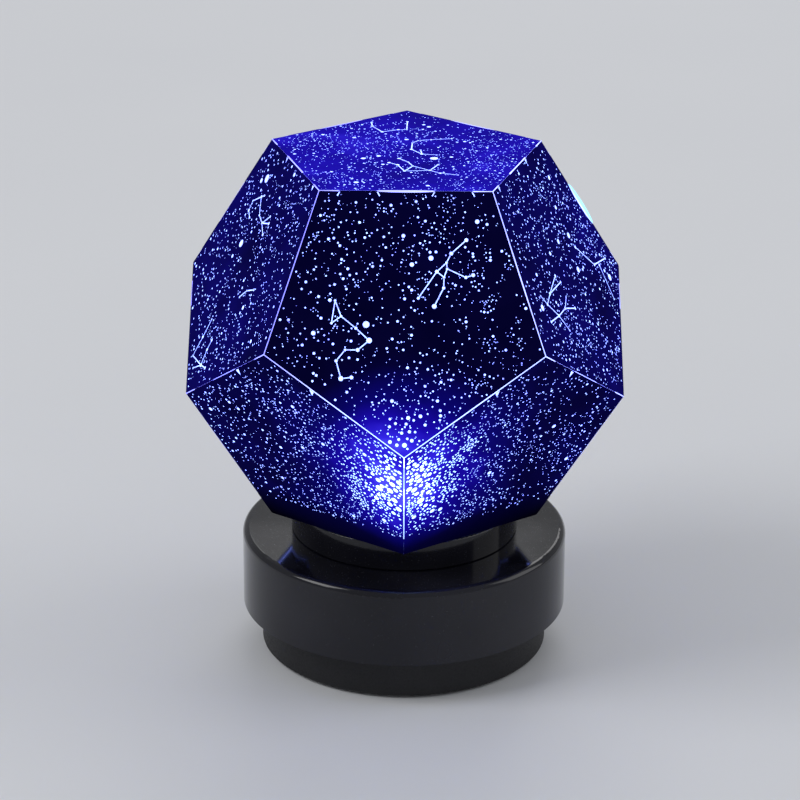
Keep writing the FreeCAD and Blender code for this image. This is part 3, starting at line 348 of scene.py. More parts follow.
# %% The ink's finish
def black_ink():
    """Satin black ink; painted blue light leaks where many stars crowd and near the lamp, and reflects on the
    top sheet.
    """
    finish = Finish("black_ink", IOR=1.45, Specular_IOR_Level=0.0015, Emission_Strength=1.0)
    cloud = finish.noise(60, 3)
    fine = finish.noise(1300, 4)
    streak = finish.noise(1.0, 4, finish.node("ShaderNodeMapping", None,
                                              {"Vector": finish.at, "Scale": (900, 160, 420)}))
    # This attribute paints the ink's blue light: lamp light leaking through it, and a reflection on the top
    # sheet.
    leak = finish.node("ShaderNodeAttribute", {"attribute_name": "leak"}, output="Fac")
    glow = leak * (0.7 + cloud * 0.6)
    deep, worn = (0.0006, 0.0005, 0.0030), (0.0014, 0.0012, 0.0060)
    finish.set(Base_Color=finish.mix(cloud.between(0.35, 0.7), deep, worn))
    finish.set(Emission_Color=finish.ramp(glow, [
        (0.0, (0.0, 0.0, 0.0)), (0.2, (0.0008, 0.0003, 0.030)), (0.45, (0.0025, 0.0012, 0.14)),
        (0.7, (0.010, 0.003, 0.43)), (0.9, (0.035, 0.02, 0.82)), (1.0, (0.09, 0.08, 1.0))]))
    finish.set(Roughness=0.36 + cloud * 0.12 + streak.between(0.58, 0.75) * 0.12)
    finish.bump(fine + cloud * 2.0, 0.10, 0.00006)
    return finish.material


INK = black_ink()
print("the ink is ready")

# %% [markdown]
# ## Film full of light
# The film scatters a little of the lamp's light, so every clear spot shines by itself: whitest round
# the front fold, where the dome shines straight through, and here and there lavender or violet.
# Thousands of tiny lamps would be slow, so the glow is an emission that the renderer doesn't aim light
# rays at. The rim along the folds and two lips of film at the back have colours of their own.

# %% The film's finishes
# GLOW_SPOT is where the dome's light through the film is painted as a fixed glow, so it turns with the shade.
GLOW_SPOT = (0.0, -0.0745, 0.090)
RIM_START = (0.0620, 0.0634)


def clear_film(name, alpha):
    finish = Finish(name, IOR=1.5, Alpha=alpha, Emission_Strength=3.4, Roughness=0.25)
    finish.material.cycles.emission_sampling = "NONE"
    return finish


def tint(finish, cloud):
    finish.set(Base_Color=finish.mix(cloud, (0.20, 0.22, 0.60), (0.32, 0.36, 0.75)))


def lit_film():
    """Mostly white-blue, with chance specks of lavender and violet."""
    finish = clear_film("lit_clear_film", 0.6)
    settings = {"Vector": finish.at, "Scale": 620}
    cells = finish.node("ShaderNodeTexVoronoi", None, settings, "Color")
    chance = finish.node("ShaderNodeSeparateColor", None, {"Color": cells}, "Red")
    cloud = finish.noise(28, 2)
    near = finish.distance(GLOW_SPOT).between(0.040, 0.008)
    colours = finish.ramp(chance * 0.75 + cloud * 0.5 + near * 0.5 + 0.12, [
        (0.0, (0.035, 0.02, 0.50)), (0.18, (0.07, 0.06, 0.72)), (0.34, (0.15, 0.17, 0.90)),
        (0.60, (0.23, 0.31, 1.0)), (1.0, (0.27, 0.41, 1.0))])
    # Round GLOW_SPOT the film's colour is painted whiter, for the dome shining straight through.
    finish.set(Emission_Color=finish.mix(near, colours, (0.38, 0.66, 0.70)))
    tint(finish, cloud)
    finish.bump(finish.noise(500, 3), 0.1, 0.00005)
    return finish.material


def lit_rim(name, stops):
    """Film along a fold: it changes with the distance from the lamp and is dark below RIM_START."""
    finish = clear_film(name, 0.85)
    cloud = finish.noise(60, 3)
    # The rim's light is painted: brighter near GLOW_SPOT and towards +X.
    lamp = finish.distance(GLOW_SPOT).between(0.085, 0.010)
    side = finish.axis("X").between(-0.045, 0.050)
    light = finish.ramp(lamp * 0.85 + cloud * 0.3 + side * 0.3 - 0.15, stops)
    above = finish.axis("Z").between(*RIM_START)
    finish.set(Emission_Color=finish.mix(above, (0.0, 0.0, 0.012), light))
    tint(finish, cloud)
    return finish.material


FILM = lit_film()
RIM = lit_rim("lit_film_rim", [
    (0.0, (0.11, 0.10, 0.52)), (0.35, (0.24, 0.27, 0.80)), (0.7, (0.28, 0.38, 0.95)),
    (1.0, (0.30, 0.48, 1.0))])
LIP = lit_rim("lit_film_lip", [
    (0.0, (0.10, 0.30, 0.31)), (0.4, (0.12, 0.32, 0.31)), (1.0, (0.16, 0.36, 0.35))])
print("the film and its rim are ready")

# %% [markdown]
# ## Where each sheet lies
# A regular dodecahedron needs only its edge length. The top sheet's width gives it. Five sheets lean
# out from the top one by the fold angle, with a corner down, and five stand on the base with a corner
# up. A sheet could be drawn where it leans, but it is easier to make it flat on the XY plane, with a
# corner at +X, and then to take its mesh to its place.

# %% Sizes and places of the sheets
SEAM = 0.05 * MM
HALF_ANGLE = math.radians(36)
low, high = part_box("sheet_top")
CORNER = (high.x - low.x) / 2 / math.sin(math.radians(72))
EDGE = 2 * (CORNER + SEAM / math.cos(HALF_ANGLE)) * math.sin(HALF_ANGLE)
INRADIUS = EDGE / 2 * math.sqrt((25 + 11 * math.sqrt(5)) / 10)
CENTRE = high.z - INRADIUS
FOLD = math.atan(2)
SHADE_BOTTOM = high.z - 2 * INRADIUS
print("edge", round(EDGE / MM, 3), "mm, the shade stands at", round(SHADE_BOTTOM / MM, 2), "mm")


def sheet_place(tilt, heading, spin):
    turn = Matrix.Rotation(math.radians(heading), 4, "Z") @ Matrix.Rotation(tilt, 4, "Y")
    turn = turn @ Matrix.Rotation(math.radians(spin), 4, "Z")
    return Matrix.Translation((0, 0, CENTRE)) @ turn @ Matrix.Translation((0, 0, INRADIUS))


PLACES = {"top": sheet_place(0, 90, 0)}
for k in range(5):
    PLACES[f"upper_{k + 1}"] = sheet_place(FOLD, -90 + 72 * k, 0)
for k in range(5):
    PLACES[f"lower_{k + 1}"] = sheet_place(math.pi - FOLD, -90 + 72 * k + 36, 180)
print(len(PLACES), "sheets")

# %% [markdown]
# ## Places along a fold
# On the flat sheet, corner 0 lies at +X, and fold k runs anticlockwise from corner k to the next one.
# Everything that follows the folds is given in millimetres along one and inside it, so that the same
# few numbers serve all eleven sheets.

# %% Corners and folds
LENGTH = EDGE / MM
APOTHEM = LENGTH / 2 / math.tan(HALF_ANGLE)


def corner_spot(k):
    angle = math.radians(72 * k)
    radius = (EDGE / 2 / math.sin(HALF_ANGLE)) / MM
    return np.array([radius * math.cos(angle), radius * math.sin(angle)])


def edge_spot(k, along, inset):
    """A point by fold k, in mm along it and in mm inside it."""
    start, end = corner_spot(k), corner_spot(k + 1)
    way = (end - start) / np.linalg.norm(end - start)
    return start + way * along + np.array([-way[1], way[0]]) * (inset + SEAM / MM)


print("each fold is", round(LENGTH, 2), "mm long")

# %% [markdown]
# ## The edge of the ink
# Along a fold the ink stops a sixth of a millimetre short of the edge, so a thin bright line shows.
# The line could be a glowing wire, but on the lamp it is only a gap in the ink, and so it is here. A
# profile lists how far the ink stays inside the fold. It is shut where a tab blocks the light, wide
# where two sheets bow apart, and shut again close to the base.

# %% Profiles of the ink's edge
TAB = (7.2, 19.8)
START = 1.5
THIN = 0.16
SHUT = 0.0
DARK_MARGIN = 8.2 * MM


def mirrored(profile):
    return [(LENGTH - s, inset) for s, inset in reversed(profile)]


def bowed(shares, bow):
    """Insets at shares of the fold's length, with bow added at its middle."""
    return [(share * LENGTH, THIN + bow * math.sin(math.pi * share) ** 3) for share in shares]


def plain_profile(bow):
    """Open all the way."""
    return [(START, THIN)] + bowed((0.15, 0.3, 0.4, 0.5, 0.6, 0.7, 0.85), bow) + [(LENGTH - START, THIN)]


def tabbed_profile(bow):
    """Shut where the tabs lie behind the fold, and wider beside them."""
    a, b = TAB
    half = [(START, THIN), (a - 0.6, THIN + 0.1), (a, SHUT), (b, SHUT), (b + 0.9, THIN + 0.15)]
    return half + bowed((0.42, 0.5, 0.58), bow) + mirrored(half)


def side_profile(inset):
    """Shut where the tabs lie behind the fold, with an even line between them."""
    a, b = TAB
    half = [(START, THIN), (a - 0.5, THIN), (a, SHUT), (b + 1.6, SHUT), (b + 2.6, inset)]
    return half + mirrored(half)


def short_profile():
    """Shut but for one short stretch beside the tab."""
    a, b = 0.65 * LENGTH, 0.86 * LENGTH
    return [(START, SHUT), (a, SHUT), (a + 0.8, 0.55), ((a + b) / 2, 0.34), (b - 0.8, 0.5), (b, SHUT),
            (LENGTH - START, THIN)]


def dark_profile(heights):
    """Open only where the fold is above the dark margin over the base."""
    if max(heights) < DARK_MARGIN:
        return [(START, SHUT), (LENGTH - START, SHUT)]
    if heights[0] > heights[1]:
        return mirrored(dark_profile(heights[::-1]))
    stop = LENGTH * (DARK_MARGIN - heights[0]) / (heights[1] - heights[0])
    return [(START, SHUT), (stop, SHUT), (stop + 0.4, THIN), ((stop + LENGTH) / 2, THIN + 0.05),
            (LENGTH - START, THIN)]


print("five kinds of edge can be drawn")

# %% [markdown]
# ## Which fold gets which edge
# The front sheet's four lower folds are open all the way, and the two folds that run on from them to the
# sides are shut at their tabs. Round the top sheet and between the upper sheets the tabs show too, and
# there the sheets bow apart: a little at most folds, and by more than a millimetre at two folds at the
# back. Both sheets of a fold draw half of its line, so a fold can stand twice in these tables.

# %% Outline of the ink
OPEN_FOLDS = {"upper_1": (0, 1, 3, 4), "upper_2": (3, 4), "upper_5": (0, 1), "lower_1": (0, 4),
              "lower_5": (0, 4)}
SIDE_FOLDS = {("upper_2", 4), ("upper_5", 0), ("lower_1", 4), ("lower_5", 0)}
SIDE_INSET = 0.06
USUAL_BOW = 0.42
BOWS = {("top", 1): 0.06, ("top", 3): 0.06, ("upper_5", 2): 0.06, ("upper_2", 2): 0.06,
        ("upper_2", 1): 1.3, ("upper_3", 3): 1.3, ("upper_3", 1): 1.3, ("upper_4", 3): 1.3,
        ("upper_4", 1): 0.1, ("upper_5", 3): 0.1}


def edge_profile(name, k, place, rng):
    """The profile of fold k: pairs of a place along it and the ink's inset, in mm."""
    heights = [(place @ Vector((*edge_spot(k, s, 0) * MM, 0))).z - SHADE_BOTTOM for s in (0, LENGTH)]
    if k in OPEN_FOLDS.get(name, ()):
        bow = rng.uniform(0.0, 0.12)
        return side_profile(SIDE_INSET + bow / 2) if (name, k) in SIDE_FOLDS else plain_profile(bow)
    if name == "top" or name.startswith("upper") and k in (1, 2, 3):
        return tabbed_profile(BOWS.get((name, k), USUAL_BOW))
    if min(heights) < DARK_MARGIN:
        return dark_profile(heights)
    return short_profile() if k == 0 else mirrored(short_profile())


def ink_outline(name, place, rng):
    spots = []
    for k in range(5):
        profile = edge_profile(name, k, place, rng)
        corner = corner_spot(k)
        inset = (profile[0][1] + THIN) / 2 + SEAM / MM
        spots.append(corner * (1 - inset / math.cos(HALF_ANGLE) / np.linalg.norm(corner)))
        spots += [edge_spot(k, s, inset) for s, inset in profile]
    return spots


print("the ink's outline is ready")

# %% [markdown]
# ## Drawing the star charts
# Real charts of this kind mix faint dust, middling stars and a few large ones, gathered into bands
# and small clusters. A chart could be a long table of stars, but most of this one is drawn by chance
# from a fixed seed, so it is short and comes out the same every time. A grid of used places keeps the
# dots apart, because two dots' holes may not touch. Only lines may cross.

# %% Star chart helper
FRONT = "upper_1"


class Chart:
    """Star dots and lines on one sheet, in millimetres."""

    CELL = 3.2
    GAP = 0.11
    MARGIN = 0.75

    def __init__(self, name, place, seed):
        self.name = name
        self.place = place
        self.rng = np.random.default_rng(seed)
        self.used = {}
        self.holes = []

    def height(self, x, y):
        return (self.place @ Vector((x * MM, y * MM, 0))).z

    def inside(self, x, y, margin):
        return all(x * math.cos(a) + y * math.sin(a) < APOTHEM - margin
                   for a in (math.radians(36 + 72 * k) for k in range(5)))

    def free(self, x, y, radius, gap):
        i, j = int(x // self.CELL), int(y // self.CELL)
        for a in (i - 1, i, i + 1):
            for b in (j - 1, j, j + 1):
                for u, v, r in self.used.get((a, b), ()):
                    if (x - u) ** 2 + (y - v) ** 2 < (radius + r + gap) ** 2:
                        return False
        return True

    def claim(self, x, y, radius):
        self.used.setdefault((int(x // self.CELL), int(y // self.CELL)), []).append((x, y, radius))

    def star(self, x, y, radius, gap=GAP):
        """Add one round dot if there is room for it."""
        if not self.inside(x, y, radius + self.MARGIN) or not self.free(x, y, radius, gap):
            return False
        if self.height(x, y) - SHADE_BOTTOM < DARK_MARGIN + radius * MM:
            return False
        self.claim(x, y, radius)
        sides = 6 if radius < 0.34 else 8 if radius < 0.6 else 14
        turn = self.rng.uniform(0, 1)
        angles = (np.arange(sides) + turn) * 2 * math.pi / sides
        self.holes.append(np.stack([x + radius * np.cos(angles), y + radius * np.sin(angles)], 1))
        return True

    def guard(self, outline):
        """Keep the dots off the ink's own edge."""
        step = 0.7
        for a, b in zip(outline, outline[1:] + outline[:1]):
            for share in np.arange(0, 1, step / max(step, np.linalg.norm(b - a))):
                self.claim(*(a + (b - a) * share), 0.45)

    def wedge(self, k, along, lean, width=1.5, reach=2.2):
        """A small three-cornered gap by fold k, where light slips past the end of a tab."""
        spots = [edge_spot(k, along - width / 2, 0.45), edge_spot(k, along + width / 2, 0.45),
                 edge_spot(k, along + lean, reach + 0.3)]
        self.claim(*np.mean(spots, 0), reach / 2)
        self.holes.append(np.array(spots))

    def line(self, start, end, trims, width=0.34):
        """A thin bright line between two stars that stops just short of both."""
        start, end = np.array(start, float), np.array(end, float)
        length = np.linalg.norm(end - start)
        way = (end - start) / length
        side = np.array([-way[1], way[0]]) * width / 2
        a = start + way * (trims[0] + 0.06)
        b = end - way * (trims[1] + 0.06)
        if np.dot(b - a, way) < 0.25:
            return
        for t in np.arange(0, length, 0.35):
            self.claim(*(start + way * t), width / 2)
        self.holes.append(np.array([a - side, b - side, b + side, a + side]))

    def figure(self, chains):
        """A constellation: star dots at the points of all chains, and lines along each chain."""
        sizes = {}
        width = 0.34 if self.name == FRONT else 0.44
        for spot in [spot for chain in chains for spot in chain]:
            if spot not in sizes:
                chosen = NODE_SIZES.get(spot) or self.rng.choice([0.45, 0.55, 0.65])
                if self.star(*spot, chosen, 0.0):
                    sizes[spot] = chosen
        for chain in chains:
            for a, b in zip(chain, chain[1:]):
                if a in sizes and b in sizes:
                    self.line(a, b, (sizes[a], sizes[b]), width)


print("charts can be drawn")

# %% [markdown]
# ## Constellations
# Stick figures join a handful of stars. Chance draws poor constellations, so the sheets that face the
# room have figures and large stars that are given in millimetres on the flat sheet. A figure
# is a list of chains, and a point that two chains share joins them. Two sheets beside the lamp have
# patches instead, where small stars crowd together.

# %% Figures listed one by one
FIGURES = {
    "upper_1": [
        [[(-3.1, -24.1), (4.7, -25.3), (2.3, -22.0), (-3.1, -24.1)],
         [(2.3, -22.0), (6.4, -16.9), (10.6, -12.3), (13.9, -16.2), (13.9, -20.5), (17.7, -23.6),
          (23.8, -21.9), (23.4, -18.3)]],
        [[(-24.3, 20.9), (-19.6, 15.7), (-16.4, 14.1), (-13.3, 10.8), (-4.1, 4.5)],
         [(-16.4, 14.1), (-14.3, 14.4), (-11.4, 13.3), (-7.7, 13.2), (-1.3, 10.0)],
         [(-13.3, 10.8), (-11.4, 13.3)], [(-14.3, 14.4), (-11.4, 20.8), (-12.2, 23.3)]]],
    "upper_2": [
        [[(-0.9, -30.5), (3.3, -28.1), (9.7, -23.0), (16.7, -19.8)],
         [(3.3, -28.1), (1.3, -22.2), (1.6, -9.0)], [(1.3, -22.2), (-1.6, -11.1)],
         [(9.7, -23.0), (9.7, -15.1), (7.2, -10.4)], [(9.7, -15.1), (12.8, -6.9)],
         [(9.7, -23.0), (8.8, -31.5)]],
        [[(-2.9, 17.1), (7.7, 26.8), (9.5, 38.8)], [(9.4, 31.0), (23.1, 30.4)]]],
    "upper_5": [
        [[(-24.2, -13.0), (-22.9, -15.3), (-19.3, -21.0), (-15.6, -20.7), (-13.9, -17.2)],
         [(-22.9, -15.3), (-20.4, -12.8), (-17.6, -9.6), (-16.3, -4.1), (-13.6, 1.2)],
         [(-20.4, 0.2), (-16.3, -4.1), (-18.2, 1.8)]],
        [[(24.0, -8.0), (31.3, -8.5), (39.3, -9.4), (38.9, 1.2), (33.0, 0.3), (29.1, 0.5)],
         [(42.3, -4.2), (38.9, 1.2), (38.2, 5.8)]],
        [[(3.0, 15.7), (5.5, 10.1), (9.3, 6.6)]]],
    "top": [
        [[(35.7, 12.9), (31.5, 12.6), (24.9, 8.9), (27.5, 3.1), (27.6, 0.0), (37.2, -0.2)]],
        [[(-5.8, 2.6), (-9.7, -0.6), (-14.3, -2.3), (-19.8, 0.6), (-12.9, 3.1), (-10.6, 6.1)],
         [(-19.8, 0.6), (-18.9, -8.3), (-12.6, -11.2)], [(-18.9, -8.3), (-21.9, -11.9), (-23.8, -18.1)],
         [(-14.3, -2.3), (-18.9, -8.3)]]],
}
NODE_SIZES = {(10.6, -12.3): 0.95, (23.8, -21.9): 0.85, (2.3, -22.0): 0.45, (-4.1, 4.5): 0.5,
              (-1.3, 10.0): 0.8, (38.9, 1.2): 0.8}
BIG_STARS = {
    "upper_1": [(5.1, -13.4, 1.15), (8.2, -31.5, 0.75), (-3.2, -25.9, 0.6), (46.6, 0.1, 0.8),
                (45.0, 2.6, 0.6), (44.6, -1.9, 0.5), (42.4, -0.9, 0.55), (37.2, 1.3, 0.65), (39.3, 0.6, 0.5),
                (36.6, 5.5, 0.6), (34.6, 12.3, 0.5), (36.4, 12.4, 0.55), (31.4, -4.3, 0.6),
                (31.3, 11.3, 0.55)],
    "upper_2": [(2.6, -33.4, 1.2), (-29.1, 22.0, 0.9), (-8.0, 15.9, 1.1), (-9.5, 4.8, 0.95),
                (3.9, 10.8, 1.15), (16.0, 35.3, 1.3), (-8.9, -6.7, 0.75)],
    "upper_5": [(-29.3, -18.0, 1.6), (-4.7, -13.7, 1.45), (-27.1, -22.0, 0.95), (1.3, -16.1, 0.7)],
    "lower_1": [(-11.7, 32.4, 1.5), (6.2, 37.7, 0.9), (0.3, 36.9, 1.15), (-20.2, 21.0, 0.9),
                (-4.3, 37.6, 1.2), (-8.0, 30.2, 1.0), (-3.9, 31.9, 1.05), (2.3, 33.3, 0.95),
                (9.9, 37.9, 0.85), (-19.8, 24.6, 1.0), (-20.4, 32.4, 0.9), (-15.4, 29.0, 0.9)],
    "lower_5": [(-5.9, -30.8, 1.45), (-5.5, -35.6, 1.3), (-12.2, -27.5, 1.0), (2.4, -39.3, 1.1),
                (-1.5, -37.9, 1.2), (-13.5, -32.9, 1.1), (-10.4, -35.9, 1.25), (-14.9, -36.3, 1.2),
                (-24.2, -26.9, 0.9), (4.9, -41.0, 0.8), (-9.4, -31.5, 1.0), (-18.1, -33.0, 0.9)],
    "top": [(-5.5, -9.8, 1.5), (-6.0, 15.3, 0.9), (-32.5, 17.3, 0.9), (16.0, 0.0, 0.8), (31.1, -8.1, 0.8)],
}
PATCHES = {
    "lower_1": [(6.4, 23.3), (-13.5, 35.9), (-9.6, 21.5), (13.1, 19.5), (-4.0, 29.0)],
    "lower_5": [(4.3, -32.6), (-18.2, -20.8), (-12.5, -18.4), (-5.6, -20.1), (-15.0, -30.0)],
}
print(sum(len(figures) for figures in FIGURES.values()), "figures placed by hand")

# %% [markdown]
# ## Constellations by chance
# The other sheets get figures from a random walk that turns by some sixty degrees at most from star to
# star, so that it bends like a real constellation. A longer one also gets a side branch.

# %% Figures by chance
FIGURE_MARGIN = 5


def random_walk(chart, steps):
    """A chain of well spaced points that bends gently, starting anywhere on the sheet."""
    rng = chart.rng
    spot = rng.uniform(-24, 24, 2)
    heading = rng.uniform(0, 2 * math.pi)
    chain = []
    for step in range(steps):
        low = chart.height(*spot) - SHADE_BOTTOM < DARK_MARGIN + 3 * MM
        if low or not chart.inside(*spot, FIGURE_MARGIN):
            break
        chain.append(tuple(float(v) for v in np.round(spot, 2)))
        heading += rng.uniform(-1.1, 1.1)
        spot = spot + rng.uniform(3.2, 8.0) * np.array([math.cos(heading), math.sin(heading)])
    return chain


def random_figure(chart):
    trunk = random_walk(chart, int(chart.rng.integers(4, 8)))
    if len(trunk) < 3:
        return
    chains = [trunk]
    if len(trunk) > 3:
        joint = trunk[int(chart.rng.integers(1, len(trunk) - 1))]
        angle = chart.rng.uniform(0, 2 * math.pi)
        reach = chart.rng.uniform(4, 8)
        tip = (joint[0] + reach * math.cos(angle), joint[1] + reach * math.sin(angle))
        if chart.inside(*tip, FIGURE_MARGIN):
            chains.append([joint, tip])
    chart.figure(chains)


print("figures can be drawn by chance")

# %% [markdown]
# ## Where stars and light gather
# Stars crowd in bands and beside the lamp, and the ink lets more light through where they crowd. Noise
# on each flat sheet would show the folds as breaks. The noise here is read at the place of a spot on
# the finished shade, so the bands run on from sheet to sheet.

# %% Density of the stars and leak of the ink
def row(chart):
    """The chart's row on the shade: top, upper or lower."""
    return chart.name.split("_")[0]


def density(chart, x, y):
    """The chance of a star at a spot; 1 or more is certain."""
    spot = chart.place @ Vector((x * MM, y * MM, 0))
    band = 0.5 + 0.5 * noise.noise(spot * 38) + 0.22 * noise.noise(spot * 120)
    if chart.name == FRONT:
        return band * 0.75
    if row(chart) == "lower":
        return 0.8 * band - 0.05 + 0.6 * near_glow(chart, x, y, 65)
    return band + 0.1


def near_glow(chart, x, y, reach=31):
    """1 at the lamp's bright spot, 0 beyond reach mm of it."""
    spot = chart.place @ Vector((x * MM, y * MM, 0))
    return max(0.0, 1 - (spot - Vector(GLOW_SPOT)).length / (reach * MM))


# Levels of the ink's painted light for each row; the top sheet's level is mostly a painted reflection of blue
# room light.
LEAK_AND_REFLECTION_LEVELS = {"top": 0.60, "upper": 0.25, "lower": 0.22}


def leak(chart, x, y):
    """Painted light of the ink, 0 to 1: leaked through it, or reflected on the top sheet; almost none by the
    base.
    """
    crowd = max(0.0, density(chart, x, y) - 0.3)
    level = LEAK_AND_REFLECTION_LEVELS[row(chart)] + 0.22 * crowd
    # The dome's light through the film, painted as a glow round GLOW_SPOT and stronger on the front sheet.
    painted_lamp_glow = 0.9 * near_glow(chart, x, y, 52) ** 1.3
    if chart.name == FRONT:
        level, painted_lamp_glow = level * 0.5, min(0.8, painted_lamp_glow * 1.9)
    rise = (chart.height(x, y) - SHADE_BOTTOM) / (1.7 * DARK_MARGIN)
    return level * min(1.0, rise) ** 1.5 + painted_lamp_glow


# The top sheet's level is highest because it holds a painted reflection as well as leaked light.
print("light leaks most through the ink of the", max(LEAK_AND_REFLECTION_LEVELS, key=LEAK_AND_REFLECTION_LEVELS.get), "sheet")

# %% [markdown]
# ## Slits beside the tabs
# Where a tab ends, a little light slips past its side and marks the neighbour's ink. A real slit comes
# from the film's own bends, which would be far too fine to model, so the marks are cut as more holes
# in the ink: small wedges on the lower sheets and beside the front, and short slanted lines behind.

# %% Slits
LOW_SLIT = {"width": 1.9, "reach": 2.7}
LOW_TAB_END = 20.6
HIGH_TAB_ENDS = (21.2, 53.7)


def tab_slits(chart):
    if row(chart) == "lower":
        chart.wedge(0, LOW_TAB_END, 1.1, **LOW_SLIT)
        chart.wedge(4, LENGTH - LOW_TAB_END, -1.1, **LOW_SLIT)
    elif chart.name == "upper_2":
        for along in HIGH_TAB_ENDS:
            chart.wedge(2, along, 0.5)
    elif chart.name == "upper_5":
        for along in HIGH_TAB_ENDS:
            chart.wedge(2, LENGTH - along, -0.5)
    elif row(chart) == "upper":
        for along, lean in ((TAB[0], -0.9), (TAB[1] + 0.3, 0.9)):
            for ends in ((along, along + lean), (LENGTH - along, LENGTH - along - lean)):
                chart.line(edge_spot(2, ends[0], 0.3), edge_spot(2, ends[1], 1.9), (0, 0), 0.36)


print("slits can be cut")

# %% [markdown]
# ## Single stars, clusters and the crowd by the lamp
# Most stars are tiny, some are middling and a few are large, and all grow towards the lamp. A star's
# size is drawn by lot from a short table of classes, which is easier to tune than one formula. The
# front sheet has more of the very smallest, so that its figures stand out.

# %% Stars and clusters
UPPER_SCALE = 1.12
STAR_SIZES = ((0.012, (0.60, 0.85)), (0.11, (0.38, 0.52)), (0.66, (0.24, 0.34)), (1.0, (0.15, 0.22)))
CROWD_SPREAD = 10


def star_radius(chart, glow):
    """A radius by lot; each class is a share of the lots so far and its smallest and largest radius."""
    rng = chart.rng
    lot = rng.uniform()
    if chart.name == FRONT and lot > 0.46:
        return rng.uniform(0.09, 0.18) * (1 + 2 * glow)
    size = UPPER_SCALE if row(chart) == "upper" and chart.name != FRONT else 1.0
    low, high = next(span for share, span in STAR_SIZES if lot <= share)
    return rng.uniform(low, high) * size * (1 + 1.9 * glow)


def cluster(chart, middle, count, spread, span, gap):
    """Small dots scattered round one place."""
    for step in range(count):
        spot = middle + chart.rng.normal(0, spread, 2)
        chart.star(*spot, chart.rng.uniform(*span), gap)


def crowd_by_lamp(chart, tries, low, high):
    """Large dots close together where the lamp's light is strongest."""
    if chart.name not in (FRONT, "lower_1", "lower_5"):
        return
    rng = chart.rng
    heart = chart.place.inverted() @ Vector(GLOW_SPOT) / MM
    for step in range(tries):
        x, y = heart.x + rng.normal(0, CROWD_SPREAD), heart.y + rng.normal(0, CROWD_SPREAD)
        glow = near_glow(chart, x, y)
        if rng.uniform() < 2.0 * glow:
            chart.star(x, y, rng.uniform(low, high) * (0.35 + 0.75 * glow), 0.09)


print(len(STAR_SIZES), "classes of stars")

# %% [markdown]
# ## Filling a chart
# A dot is drawn only where there is room, so the order matters: slits and large stars first, then the
# figures, the patches and the crowd by the lamp, then small clusters, and single dots last, to fill the
# bands until the chart holds its number of holes.

# %% Fill one chart
CHANCE_FIGURES = {"top": 1, "upper_1": 0, "upper_2": 0, "upper_5": 0, "lower_1": 0, "lower_5": 0}
PATCH = {"count": 60, "spread": 1.6, "span": (0.28, 0.5), "gap": 0.04}
CLUSTERS = 22


def fill_chart(chart, number):
    rng = chart.rng
    tab_slits(chart)
    for x, y, radius in BIG_STARS.get(chart.name, []):
        chart.star(x, y, radius, 0.0)
    for chains in FIGURES.get(chart.name, []):
        chart.figure(chains)
    for step in range(CHANCE_FIGURES.get(chart.name, 4)):
        random_figure(chart)
    for spot in PATCHES.get(chart.name, []):
        cluster(chart, np.array(spot), **PATCH)
    crowd_by_lamp(chart, 130, 0.9, 1.3)
    crowd_by_lamp(chart, 520, 0.45, 0.8)
    for step in range(CLUSTERS):
        middle, spread = rng.uniform(-42, 42, 2), rng.uniform(0.8, 2.0)
        cluster(chart, middle, int(rng.integers(5, 15)), spread, (0.14, 0.26), 0.12)
    for tries in range(number * 12):
        if len(chart.holes) >= number:
            break
        x, y = rng.uniform(-50, 51, 2)
        glow = near_glow(chart, x, y)
        if rng.uniform() < density(chart, x, y) + 0.6 * glow:
            chart.star(x, y, star_radius(chart, glow), 0.18)


print("charts can be filled")

# %% [markdown]
# ## Helpers for the ink layer
# An operator acts on all that is selected, so one helper clears the selection and then picks the pieces
# that are meant. Another tells whether a point lies inside an outline. Its bounding box would be
# quicker to ask, but it is wrong for a slanted line.

# %% Helpers for the ink layer
INK_DEPTH = 0.05 * MM
SAME_SPOT = 1e-5


def select_only(*pieces):
    """Select these pieces and nothing else; the first is the active one."""
    bpy.ops.object.select_all(action="DESELECT")
    for piece in pieces:
        piece.select_set(True)
    bpy.context.view_layer.objects.active = pieces[0]


def in_outline(spot, outline):
    """Is a point inside a closed outline? Count the sides that a ray to the right crosses."""
    x, y = spot
    odd = False
    for (ax, ay), (bx, by) in zip(outline, outline[1:] + outline[:1]):
        if (ay > y) != (by > y) and x < ax + (y - ay) * (bx - ax) / (by - ay):
            odd = not odd
    return odd


print("a point can be tested against an outline")

# %% [markdown]
# ## From a chart to a layer with holes
# A thousand boolean cuts would be slow and fragile. Blender can also join loose outlines with triangles
# that never cross them, and that one call turns a chart into a flat layer. A triangle whose three
# corners lie on the same dot is that dot's hole, and it is left out. Where two lines cross, their
# triangles have mixed corners, so those are left out by their place. A Solidify modifier then gives the
# ink its thickness, and its walls close the mesh.

